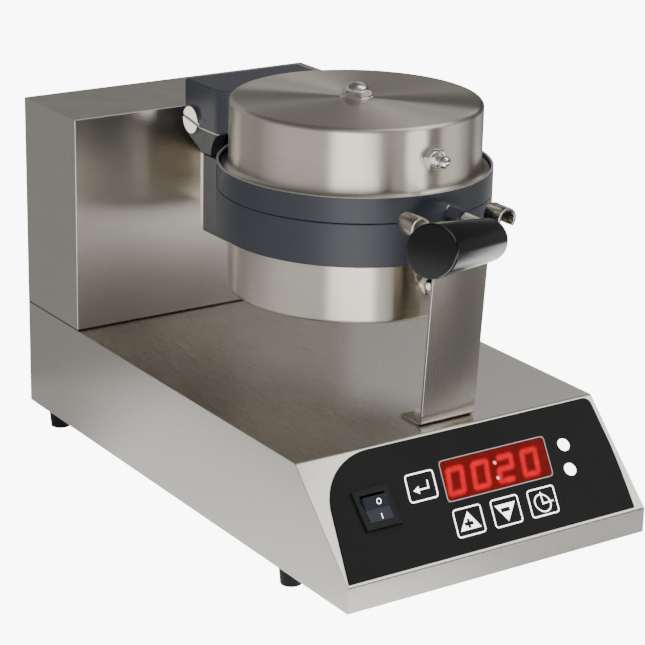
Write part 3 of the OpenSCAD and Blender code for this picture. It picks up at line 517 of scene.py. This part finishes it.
def tidyMesh(mesh, sharpAngle):
    # repeated points are merged, faces turned outward, and edges sharper than the angle kept sharp
    shape = bmesh.new()
    shape.from_mesh(mesh)
    bmesh.ops.remove_doubles(shape, verts=shape.verts, dist=2e-6)
    bmesh.ops.dissolve_degenerate(shape, edges=shape.edges, dist=1e-6)
    bmesh.ops.recalc_face_normals(shape, faces=shape.faces)
    shape.to_mesh(mesh)
    shape.free()
    mesh.shade_smooth()
    mesh.set_sharp_from_angle(angle=math.radians(sharpAngle))


def addPiece(name, mesh, look, body, replaced=(), sharpAngle=40):
    tidyMesh(mesh, sharpAngle)
    piece = bpy.data.objects.new(name, mesh)
    bpy.context.scene.collection.objects.link(piece)
    mesh.materials.append(finish[look])
    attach(piece, body)
    if replaced:
        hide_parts(*replaced)


cover = {
    "radius": 90.5 * mm,
    "flange": 96.5 * mm,
    "sheet": 1.2 * mm,
    "flare": 4.5 * mm,  # radius where the wall turns out into the flange
    "shoulder": 3.6 * mm,  # radius where the wall turns in to the top
    "crown": 0.5 * mm,  # rise of the top's middle
    "hole": 5.1 * mm,
    "upperSeat": 252.5 * mm,
    "upperTop": 302 * mm,
    "lowerSeat": 211.1 * mm,
    "lowerFloor": 163 * mm,
}


def coverProfile(height, values):
    # a drawn cup from its rim to its middle and back inside: flange, flare, wall, shoulder and a top
    # that rises toward the middle as the cosine of the radius
    r, f, t = values["radius"], values["flange"], values["sheet"]
    flare, bend = values["flare"], values["shoulder"]
    across = np.linspace(r - bend, values["hole"], 14)[1:]
    rise = values["crown"] * np.cos(0.5 * np.pi * across / (r - bend))
    return np.concatenate([
        [(f - 0.3 * mm, 0), (f, 0.3 * mm), (f, t - 0.3 * mm), (f - 0.3 * mm, t)],
        arc((r + flare, t + flare), flare, 270, 180, 10),
        arc((r - bend, height - bend), bend, 0, 90, 10),
        np.stack([across, height + rise], 1),
        np.stack([across, height + rise - t], 1)[::-1],
        arc((r - bend, height - bend), bend - t, 90, 0, 6),
        [(r - t, 0), (f - 0.3 * mm, 0)]])


def makeCovers(values):
    centre = np.array(headCentre)
    upper = turnedMesh("upperShell", coverProfile(values["upperTop"] - values["upperSeat"], values),
                       centre + (0, 0, values["upperSeat"]), (0, 0, 1), 192)
    addPiece("upperShell", upper, "coverSteel", "lid", ("upper_cover",), 50)
    lower = turnedMesh("lowerShell", coverProfile(values["lowerSeat"] - values["lowerFloor"], values),
                       centre + (0, 0, values["lowerSeat"]), (0, 0, -1), 192)
    addPiece("lowerShell", lower, "coverSteel", "stand", ("lower_cover",), 50)


makeCovers(cover)
print("covers made")

handle = {
    "axisX": 6 * mm,
    "stemRadius": 5 * mm,
    "stemHeight": 246.5 * mm,
    "cornerY": -206 * mm,  # where the lines of the stem and the grip cross
    "backY": -134 * mm,
    "bend": 40 * mm,
    "turn": 57.7,  # degrees to the left of straight ahead
    "rise": 11.4,
    "gripStart": 35.8 * mm,
    "gripLength": 105 * mm,
    "gripRadius": 17 * mm,
    "neckRadius": 14.2 * mm,
    "neckEdge": 4 * mm,
    "endEdge": 1.6 * mm,
    "inGrip": 80 * mm,  # how far the stem reaches into the grip
    "nutFlats": 12.5 * mm,
    "nutLength": 14 * mm,
    "bossFront": -147 * mm,
}


def makeHandle(values):
    # the stem runs level from the boss, turns along an arc and goes on into the grip, which is a
    # profile of straight lines and two edge arcs turned about the stem's last stretch
    turn, rise = math.radians(values["turn"]), math.radians(values["rise"])
    along = np.array((-math.sin(turn) * math.cos(rise), -math.cos(turn) * math.cos(rise), math.sin(rise)))
    corner = np.array((values["axisX"], values["cornerY"], values["stemHeight"]))
    start = np.array((values["axisX"], values["backY"], values["stemHeight"]))
    path = rounded([start, corner, corner + along * (values["gripStart"] + values["inGrip"])],
                   values["bend"], 28)
    addPiece("handleStem", tubeMesh("handleStem", path, values["stemRadius"]), "brightSteel", "lid",
             ("handle_stem",), 50)
    low, high, r = values["neckRadius"], values["gripRadius"], values["stemRadius"]
    length = values["gripLength"]
    neck, end = values["neckEdge"], values["endEdge"]
    first = [(r, 2 * mm)]
    profile = np.concatenate([
        first, [(r, 0)], arc((low - neck, neck), neck, 270, 360, 10),
        arc((high - end, length - end), end, 0, 90, 8),
        [(0, length), (0, values["inGrip"]), (r, values["inGrip"])], first])
    addPiece("handleGrip", turnedMesh("handleGrip", profile, corner + along * values["gripStart"], along, 96),
             "gripGloss", "lid", ("handle_grip",), 35)
    place = (values["axisX"], values["bossFront"], values["stemHeight"])
    nut = hexMesh("stemNut", place, (0, -1, 0), values["nutFlats"], 0, values["nutLength"], r, 0.0, 0.0)
    addPiece("stemNut", nut, "casting", "lid", ("stem_nut",))


makeHandle(handle)
print("handle made")

nuts = {
    "washer": 12 * mm,  # radius
    "washerHole": 5 * mm,
    "capFlats": 19 * mm,
    "capLow": 1.2 * mm,
    "capHigh": 5.4 * mm,
    "capDome": 5.6 * mm,
    "smallCap": {"flats": 9 * mm, "low": 5.7 * mm, "high": 9.4 * mm, "neck": 3.9 * mm, "ball": 4.7 * mm,
                 "ballAt": 12.8 * mm},
    "outerFlats": 14 * mm,
    "outerHigh": 5.6 * mm,
    "innerFlats": 11 * mm,
    "innerHeights": (1.8 * mm, 4 * mm),  # from the cover's outside, inward
    "bore": 3 * mm,
    "frontX": 7.2 * mm,
    "wallY": -120.5 * mm,
    "upperZ": 279 * mm,
    "lowerZ": 189 * mm,
}


def capNutMesh(place, direction, values):
    # a hexagon, a short neck and a ball on one axis; the ball's profile is a circle from neck to pole
    base = hexMesh("base", place, direction, values["flats"], values["low"], values["high"], 0.0, 0.0, 0.6)
    start = math.degrees(math.asin(values["neck"] / values["ball"]))
    ball = arc((0, values["ballAt"]), values["ball"], start - 90, 90, 16)
    ball[-1, 0] = 0
    foot = values["high"] - 0.2 * mm
    profile = np.concatenate([[(0, foot), (values["neck"], foot)], ball])
    return joinMeshes("cap", [base, turnedMesh("ball", profile, place, direction, 48)])


def makeNuts(values):
    x, y, _ = headCentre
    edge, hole, low, bore = values["washer"], values["washerHole"], values["capLow"], values["bore"]
    washerProfile = [(hole, 0), (edge, 0), (edge, 0.8 * mm), (edge - 0.6 * mm, low), (hole, low), (hole, 0)]
    for name, z, up, body, replaced in (
            ("upperCapNut", cover["upperTop"] + cover["crown"], 1, "lid", "upper_cover_nut"),
            ("lowerCapNut", cover["lowerFloor"] - cover["crown"], -1, "stand", "lower_cover_nut")):
        washer = turnedMesh("washer", washerProfile, (x, y, z), (0, 0, up), 96)
        cap = hexMesh("cap", (x, y, z), (0, 0, up), values["capFlats"], low, values["capHigh"], 0.0,
                      values["capDome"], 0.3)
        addPiece(name, joinMeshes(name, [washer, cap]), "brightSteel", body, (replaced,))
    for name, z, body, replaced in (("upperFrontNuts", values["upperZ"], "lid", "upper_front_nuts"),
                                    ("lowerFrontNuts", values["lowerZ"], "stand", "lower_front_nuts")):
        place = (values["frontX"], values["wallY"], z)
        outer = hexMesh("outer", place, (0, -1, 0), values["outerFlats"], 0, values["outerHigh"], bore, 0.0,
                        0.2)
        cap = capNutMesh(place, (0, -1, 0), values["smallCap"])
        inner = hexMesh("inner", place, (0, 1, 0), values["innerFlats"], *values["innerHeights"], bore)
        addPiece(name, joinMeshes(name, [outer, cap, inner]), "brightSteel", body,
                 (replaced,))


makeNuts(nuts)
print("nuts made")

leg = {
    "middleX": 6 * mm,
    "width": 46 * mm,
    "thickness": 2 * mm,
    "footBack": -127 * mm,
    "footFront": -151 * mm,
    "lean": 9.8 * mm,  # how far its top stands ahead of its foot
    "deck": 97 * mm,
    "seam": 237.8 * mm,
    "trayBack": -143.8 * mm,
    "footBend": 4 * mm,
    "topBend": 3 * mm,
    "traySpan": 30 * mm,
    "trayBend": 2.5 * mm,
    "curlRadius": 6.6 * mm,
    "curlHeights": (245 * mm, 241 * mm),  # left, right
    "curlEnd": 50,  # degrees past level
}


def makeLeg(values):
    # two bars joined: an upright carried along foot, leaning front and top, whose front is a straight
    # line from the deck to the seam, and a tray whose floor ends in an arc on either side
    x, t = values["middleX"], values["thickness"]

    def front(z):
        share = (z - values["deck"]) / (values["seam"] - values["deck"])
        return values["footFront"] - values["lean"] * share

    low, high = values["deck"] + t / 2, values["seam"] - t / 2
    side = rounded([(values["footBack"], low), (front(low) + t / 2, low), (front(high) + t / 2, high),
                    (values["trayBack"], high)], [0, values["footBend"], values["topBend"], 0], 10)
    path = np.c_[np.full(len(side), x), side]
    upright = stripMesh("upright", path, (1, 0, 0), values["width"], t)
    left, right = values["curlHeights"]
    span, r, turn, bend = values["traySpan"], values["curlRadius"], values["curlEnd"], values["trayBend"]
    floor = rounded([(-span, left), (-span, high), (span, high), (span, right)], [0, bend, bend, 0], 6)
    outline = np.concatenate([arc((-span - r, left), r, 180 + turn, 0, 26)[:-1], floor,
                              arc((span + r, right), r, 180, -turn, 26)[1:]])
    back, ahead = values["trayBack"], front(values["seam"])
    path = np.c_[outline[:, 0] + x, np.full(len(outline), (back + ahead) / 2), outline[:, 1]]
    tray = stripMesh("tray", path, (0, 1, 0), back - ahead, 1.04 * t)
    addPiece("supportLeg", joinMeshes("supportLeg", [upright, tray]), "stripSteel", "stand",
             ("support_leg",), 50)


makeLeg(leg)
print("leg made")

panel = {
    "front": -226 * mm,
    "low": 32 * mm,
    # all in mm across and up the slope, but for front and low
    "face": 1.0,  # height of the black film above the sheet
    "keyFace": 1.2,
    "slant": 0.2,
    "keySize": (24, 20.6),
    "keyCorner": 2.6,
    "line": 1.05,  # width of a key's outline
    "keys": {"set_key": (-42, 55.4), "up_key": (-17.3, 23.4), "down_key": (14.6, 23.4),
             "timer_key": (46.5, 23.4)},
    "window": (21.8, 54.6, 92, 30.5),  # middle, width and height
    "windowCorner": 3.4,
    "windowRim": 0.7,
    "digits": (-13.7, 7.7, 29.2, 50.7),  # their middles
    "digitMiddle": 53.3,
    "digitSlant": 0.30,
    "digitHalf": (5.7, 8.5),  # from a digit's middle to its outer bars
    "barGap": 0.09,  # share of a bar left dark at each end
    "barGlow": (3.5, 2.6, 0.88),  # reach, fade and strength
    "colon": ((22.5, 59.0), (19.8, 47.8)),
    "colonGlow": (2.2, 0.9),
}


def onPanel(u, v, n):
    # panel coordinates in mm, across, up the slope and out of it, to a place in metres
    u, v, n = np.broadcast_arrays(u, v, n)
    half = math.sqrt(0.5)
    return np.stack([u * mm, panel["front"] + (v - n) * half * mm, panel["low"] + (v + n) * half * mm], -1)


def slanted(width, height, corner, lean=panel["slant"]):
    # outline of a rounded box whose sides lean to the right
    outline = rounded([(-width / 2, -height / 2), (width / 2, -height / 2), (width / 2, height / 2),
                       (-width / 2, height / 2)], corner, 6, closed=True)
    return outline + np.stack([lean * outline[:, 1], np.zeros(len(outline))], 1)


def markMesh(spot, outline, low, high, hole=None):
    # a flat mark: its outline at two heights, closed to its middle or to a hole; spot gives the places
    outline = np.asarray(outline, float)
    inner = np.repeat(outline.mean(0)[None], len(outline), 0) if hole is None else np.asarray(hole, float)
    rows = [(inner, low), (outline, low), (outline, high), (inner, high)]
    rows += [(inner, low)] if hole is not None else []
    return buildMesh("mark", np.stack([spot(ring[:, 0], ring[:, 1], height) for ring, height in rows]))


def panelMark(place, outline, low, high, hole=None):
    # a flat mark moved to a place on the panel
    def spot(u, v, n):
        return onPanel(u + place[0], v + place[1], n)

    return markMesh(spot, outline, low, high, hole)


def stroke(first, last, width):
    # the four corners of a straight line of ink
    first, last = np.array(first, float), np.array(last, float)
    side = unit(np.array((first[1] - last[1], last[0] - first[0]))) * width / 2
    return np.array([first + side, first - side, last - side, last + side])


def keySign(kind, place, low, high):
    # each key's sign, as white shapes and dark shapes over them
    def triangle(points):
        return white([(u + panel["slant"] * v, v) for u, v in points])

    def white(outline, hole=None):
        return panelMark(place, outline, low, high, hole)

    def dark(first, last, width):
        return panelMark(place, stroke(first, last, width), low, high + 0.05)

    if kind == "up_key":
        return ([triangle([(-8.8, -5.9), (8.8, -5.9), (0, 7.0)])],
                [dark((-4.6, -1.6), (2.6, -1.6), 2.6), dark((-1.7, -4.9), (-0.5, 1.7), 2.2)])
    if kind == "down_key":
        return [triangle([(-8.8, 5.6), (0, -7.2), (8.8, 5.6)])], [dark((-4.2, 1.3), (3.4, 1.3), 3.0)]
    if kind == "timer_key":
        return [white(circle((-0.6, -1.0), 6.9, 48), circle((-0.6, -1.0), 5.9, 48)),
                white([(-1.2, -2.1), (9.2, -1.3), (8.4, -0.6), (0.0, -0.8)]),
                white([(-1.2, -1.9), (0.0, -1.2), (1.4, 6.6), (0.6, 7.4)])], []
    return [white(stroke((6.2, 3.4), (4.9, -2.2), 1.0)), white(stroke((5.5, -2.1), (-4.6, -2.1), 1.0)),
            white([(-7.6, -2.1), (-3.4, -4.9), (-2.2, 0.7)])], []


def makeKeys(values):
    width, height = values["keySize"]
    inset = 2 * values["line"]
    for body, place in values["keys"].items():
        low, high = values["keyFace"] - 0.1, values["keyFace"] + 0.04
        outer = slanted(width, height, values["keyCorner"])
        inner = slanted(width - inset, height - inset, values["keyCorner"] - values["line"])
        white, dark = keySign(body, place, low, high)
        white.append(panelMark(place, outer, low, high, inner))
        addPiece(body.replace("_key", "KeyPrint"), joinMeshes("print", white), "panelPrint", body)
        if dark:
            addPiece(body.replace("_key", "KeyInk"), joinMeshes("ink", dark), "inkDark", body)


makeKeys(panel)
print("keys printed")


def segmentGlow(u, v, lit):
    # brightness round the lit bars of a seven-bar digit: full on the bar and fading with distance
    right, top = panel["digitHalf"]
    reach, fade, strength = panel["barGlow"]
    bars = {"a": ((-right, top), (right, top)), "b": ((right, top), (right, 0)),
            "c": ((right, 0), (right, -top)), "d": ((-right, -top), (right, -top)),
            "e": ((-right, 0), (-right, -top)), "f": ((-right, top), (-right, 0)),
            "g": ((-right, 0), (right, 0))}
    glow = np.zeros_like(u)
    for bar in lit:
        first, last = np.array(bars[bar][0]), np.array(bars[bar][1])
        gap = panel["barGap"] * (last - first)
        first, last = first + gap, last - gap
        span = last - first
        share = np.clip(((u - first[0]) * span[0] + (v - first[1]) * span[1]) / (span @ span), 0, 1)
        away = np.hypot(u - first[0] - share * span[0], v - first[1] - share * span[1])
        glow = np.maximum(glow, strength * np.clip((reach - away) / fade, 0, 1))
    return glow


def makeWindow(values):
    # the window's face is a slanted box with rounded corners: a row's reach is half the width less what
    # the corner's circle takes there. The grid carries the digits' glow
    u0, v0, wide, high = values["window"]
    rim, (glowReach, glowFade) = values["windowRim"], values["colonGlow"]
    width, height, corner = wide - 2 * rim, high - 2 * rim, values["windowCorner"] - rim
    v = np.linspace(-height / 2, height / 2, 141)[:, None]
    cut = np.maximum(np.abs(v) - (height / 2 - corner), 0)
    reach = width / 2 - corner + np.sqrt(np.maximum(corner ** 2 - cut ** 2, 0))
    u = np.linspace(-1, 1, 361)[None, :] * reach + panel["slant"] * v
    v = np.broadcast_to(v, u.shape)
    mesh = buildMesh("window", onPanel(u + u0, v + v0, values["face"] + 0.04), False)
    glow = np.zeros(u.shape)
    for centre, lit in zip(values["digits"], ("abcdef", "abcdef", "abged", "abcdef")):
        rise = v + v0 - values["digitMiddle"]
        glow = np.maximum(glow, segmentGlow(u + u0 - centre - values["digitSlant"] * rise, rise, lit))
    for place in values["colon"]:
        away = np.hypot(u + u0 - place[0], v + v0 - place[1])
        glow = np.maximum(glow, np.clip((glowReach - away) / glowFade, 0, 1))
    attribute = mesh.attributes.new("glow", "FLOAT", "POINT")
    attribute.data.foreach_set("value", glow.ravel())
    piece = bpy.data.objects.new("windowFace", mesh)
    bpy.context.scene.collection.objects.link(piece)
    mesh.materials.append(finish["display"])
    mesh.shade_smooth()
    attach(piece, "stand")
    outer, inner = slanted(wide, high, values["windowCorner"]), slanted(width, height, corner)
    frameMesh = panelMark((u0, v0), outer, values["face"] - 0.1, values["face"] + 0.08, inner)
    addPiece("windowRim", frameMesh, "windowEdge", "stand")


makeWindow(panel)
print("window made")

rocker = {
    "place": (-82.8, 48.2),
    "frame": 29.4,
    "corner": 2.6,
    "lip": 3.15,
    "opening": 20.2,
    "swing": 16,  # degrees
    "axisDepth": -4,
    "faceLow": 7.2,  # height of the paddle's face over its axis, at the middle
    "faceHigh": 8.6,  # and at its ends
    "faceHalf": 8.85,
    "ringPlace": (2.2, 4.6),
    "ringRadii": (2.0, 1.45),
    "bar": ((0.6, -7.4), (1.1, -3.6)),
    "barWidth": 0.6,
}


def makeRocker(values):
    # a moulded square frame: square outlines with arcs at the corners, each at its own height, fall to
    # the film outside and slope to the opening inside
    place, wide, deep = values["place"], values["frame"], values["opening"]
    steps = [(wide, values["corner"], 0.9), (wide, values["corner"], 2.3),
             (wide - 0.8, values["corner"] - 0.4, values["lip"]), (wide - 3.6, 1.6, values["lip"]),
             (deep + 1.0, 1.0, 1.2), (deep, 0.8, -3.0), (deep + 1.2, 1.0, -3.0),
             (wide, values["corner"], 0.9)]
    rows = []
    for size, corner, n in steps:
        ring = slanted(size, size, corner, 0.0) + place
        rows.append(onPanel(ring[:, 0], ring[:, 1], n))
    addPiece("rockerFrame", buildMesh("rockerFrame", np.stack(rows)), "switchPlastic", "stand",
             (), 30)
    # the marks lie on the paddle's two faces, which stand turned by half of its swing
    half = math.radians(values["swing"] / 2)
    rise = values["faceHigh"] - values["faceLow"]

    def onPaddle(u, v, lift):
        n = values["faceLow"] + rise * np.abs(v) / values["faceHalf"] + lift
        across, out = v * math.cos(half) - n * math.sin(half), v * math.sin(half) + n * math.cos(half)
        return onPanel(u + place[0], across + place[1], out + values["axisDepth"])

    outer, inner = (circle(values["ringPlace"], radius, 32) for radius in values["ringRadii"])
    marks = [markMesh(onPaddle, outer, -0.15, 0.05, inner),
             markMesh(onPaddle, stroke(*values["bar"], values["barWidth"]), -0.15, 0.05)]
    addPiece("rockerMarks", joinMeshes("marks", marks), "panelPrint", "rocker")


makeRocker(rocker)
print("rocker made")

studio = {
    "backdrop": 9.0,  # white behind the object
    "roomFill": 0.55,  # soft light from all round
    "tint": (1, 0.99, 0.97, 1),
    # what polished metal sees, as (bearing from +X in degrees, strength), from below upward: the far
    # floor, the low, middle and upper walls, and the ceiling
    "bands": (
        ((-180, 0.75), (-150, 0.95), (-141, 4.5), (-107, 4.5), (-101, 1.4), (-79, 0.3), (-66, 0.14),
         (-40, 0.16), (-22, 0.4), (-8, 0.2), (10, 0.3), (22, 2.2), (48, 2.2), (60, 0.3), (80, 0.35),
         (105, 0.36), (140, 0.36), (165, 0.7), (180, 0.75)),
        ((-180, 1.15), (-150, 0.95), (-141, 3.4), (-107, 3.2), (-101, 1.0), (-80, 0.9), (-77, 6.0),
         (-62, 6.0), (-57, 0.14), (-46, 0.14), (-41, 1.9), (-26, 1.9), (0, 0.15), (56, 0.15), (85, 0.25),
         (105, 0.34), (140, 0.34), (165, 1.05), (180, 1.15)),
        ((-180, 0.32), (-141, 0.34), (-100, 0.32), (-60, 0.10), (-20, 0.08), (15, 0.08), (45, 0.07),
         (54, 0.11), (64, 0.22), (80, 0.34), (120, 0.50), (180, 0.32)),
        ((-180, 0.28), (-141, 0.34), (-100, 0.32), (-60, 0.10), (-20, 0.10), (20, 0.3), (42, 1.1), (53, 1.0),
         (60, 0.45), (80, 0.40), (120, 0.45), (180, 0.28)),
        ((-180, 0.14), (-70, 0.4), (-45, 2.8), (-25, 2.8), (0, 0.4), (60, 0.12), (180, 0.14))),
    "edges": ((-19, -13), (-3, 6), (18, 20), (27.5, 33)),  # degrees between one level and the next
    "matBands": ((-180, 1.2), (-135, 1.4), (-118, 2.0), (-102, 1.6), (-80, 0.8), (-60, 0.75), (0, 0.6),
                 (90, 0.5), (126, 0.5), (142, 1.15), (180, 1.2)),
    "matReach": (110 * mm, 210 * mm),  # how far the bright floor goes on past the object
    "matHalf": (127 * mm, 226 * mm),  # half the housing's width and depth
    "matSquash": 2.2,  # how much sooner it ends in front than at the sides
    "floorHalf": 6,  # metres
    # name: (place, target, size, power in watts)
    "lights": {
        "keyLight": ((-1.6, -1.2, 1.6), (0, 0, 0.15), (1.0, 1.0), 26),
        "fillLight": ((1.6, -1.4, 0.9), (0, 0, 0.15), (1.2, 0.8), 8),
        "topLight": ((0.2, 0.2, 2.2), (0, 0, 0), (1.4, 1.0), 16),
    },
}


def bearingOf(tree, where):
    # the three coordinates of a place or direction, and its bearing from -180 to 180 degrees as 0 to 1
    apart = addNode(tree, "ShaderNodeSeparateXYZ", None, {0: where}).outputs
    return apart, mathNode(tree, "MULTIPLY_ADD", mathNode(tree, "ARCTAN2", apart[1], apart[0]),
                           0.5 / math.pi, 0.5)


def bandStrength(tree, turn, bands):
    # a ramp over a full turn, whose strengths are stored as shares of the strongest
    peak = max(strength for _, strength in bands)
    ramp = addNode(tree, "ShaderNodeValToRGB", None, {0: turn})
    for i, (bearing, strength) in enumerate(bands):
        stop = ramp.color_ramp.elements[i] if i < 2 else ramp.color_ramp.elements.new(1.0)
        stop.position = (bearing + 180) / 360
        stop.color = (*(strength / peak,) * 3, 1)
    return mathNode(tree, "MULTIPLY", ramp.outputs[0], peak)


def mixValue(tree, share, low, high):
    return addNode(tree, "ShaderNodeMix", {"data_type": "FLOAT"}, {0: share, 2: low, 3: high}).outputs[0]


def between(tree, value, edges, low, high):
    # low below the first edge, high above the second, and smooth from one to the other
    share = addNode(tree, "ShaderNodeMapRange", {"interpolation_type": "SMOOTHSTEP"},
                    {0: value, 1: edges[0], 2: edges[1]}).outputs[0]
    return mixValue(tree, share, low, high)


def makeFloor(values):
    # a pale sheet that the camera sees as white; mirrors see it bright near the object and look through
    # it further off. Its distance is that of a place from the footprint's rectangle
    mesh = bpy.data.meshes.new("floor")
    half = values["floorHalf"]
    mesh.from_pydata([(-half, -half, 0), (half, -half, 0), (half, half, 0), (-half, half, 0)], [],
                     [(0, 1, 2, 3)])
    floor = bpy.data.objects.new("floor", mesh)
    bpy.context.scene.collection.objects.link(floor)
    material, tree, shader, where = startMaterial("paleFloor")
    group = useGroup(tree, grainGroup, {"Vector": where, "Size": 40.0, "Tone": (0.8, 0.8, 0.8, 1),
                     "Contrast": 0.01, "Roughness": 0.8, "Relief": 0.0, "Edge": 0.0})
    feed(tree, group, shader)
    shader.inputs["Specular IOR Level"].default_value = 0.0
    apart, turn = bearingOf(tree, where)
    away = [mathNode(tree, "MAXIMUM", mathNode(tree, "SUBTRACT", mathNode(tree, "ABSOLUTE", apart[i]),
                     values["matHalf"][i]), 0.0) for i in (0, 1)]
    away[1] = mathNode(tree, "MULTIPLY", away[1], values["matSquash"])
    away = mathNode(tree, "SQRT", mathNode(tree, "MULTIPLY_ADD", away[0], away[0],
                    mathNode(tree, "MULTIPLY", away[1], away[1])))
    near = addNode(tree, "ShaderNodeEmission", None,
                   {"Color": values["tint"], "Strength": bandStrength(tree, turn, values["matBands"])})
    clear = addNode(tree, "ShaderNodeBsdfTransparent")
    mirrored = addNode(tree, "ShaderNodeMixShader", None,
                       {0: between(tree, away, values["matReach"], 0.0, 1.0), 1: near.outputs[0],
                        2: clear.outputs[0]})
    white = addNode(tree, "ShaderNodeEmission", None, {"Color": (1, 1, 1, 1), "Strength": values["backdrop"]})
    rays = addNode(tree, "ShaderNodeLightPath")
    seen = addNode(tree, "ShaderNodeMixShader", None,
                   {0: rays.outputs["Is Camera Ray"], 1: shader.outputs[0], 2: white.outputs[0]})
    whole = addNode(tree, "ShaderNodeMixShader", None,
                    {0: rays.outputs["Is Glossy Ray"], 1: seen.outputs[0], 2: mirrored.outputs[0]})
    tree.links.new(whole.outputs[0], tree.nodes["Material Output"].inputs[0])
    mesh.materials.append(material)


def makeWorld(values):
    # the camera sees white, dull surfaces a soft even room, and mirrors a room of light and dark walls
    world = bpy.data.worlds.new("studio")
    bpy.context.scene.world = world
    world.use_nodes = True
    tree = world.node_tree
    apart, turn = bearingOf(tree, addNode(tree, "ShaderNodeTexCoord").outputs["Generated"])
    height = mathNode(tree, "MULTIPLY", mathNode(tree, "ARCSINE", apart[2]), 180 / math.pi)
    room = bandStrength(tree, turn, values["bands"][0])
    for edges, bands in zip(values["edges"], values["bands"][1:]):
        room = between(tree, height, edges, room, bandStrength(tree, turn, bands))
    rays = addNode(tree, "ShaderNodeLightPath")
    seen = mixValue(tree, rays.outputs["Is Glossy Ray"], values["roomFill"], room)
    seen = mixValue(tree, rays.outputs["Is Camera Ray"], seen, values["backdrop"])
    plug(tree, tree.nodes["Background"], {"Color": values["tint"], "Strength": seen})


def makeLight(name, place, target, size, power):
    # an area light that faces its target and shows in no mirror
    data = bpy.data.lights.new(name, "AREA")
    data.shape = "RECTANGLE"
    data.size, data.size_y = size
    data.energy = power
    lamp = bpy.data.objects.new(name, data)
    bpy.context.scene.collection.objects.link(lamp)
    lamp.visible_glossy = False
    back = unit(np.array(place, float) - np.array(target, float))
    side = unit(np.cross((0, 0, 1), back))
    turned = np.array((side, np.cross(back, side), back)).T
    lamp.matrix_world = Matrix.Translation(place) @ Matrix([list(row) for row in turned]).to_4x4()


makeFloor(studio)
makeWorld(studio)
for label, settings in studio["lights"].items():
    makeLight(label, *settings)
print("floor and lights made")
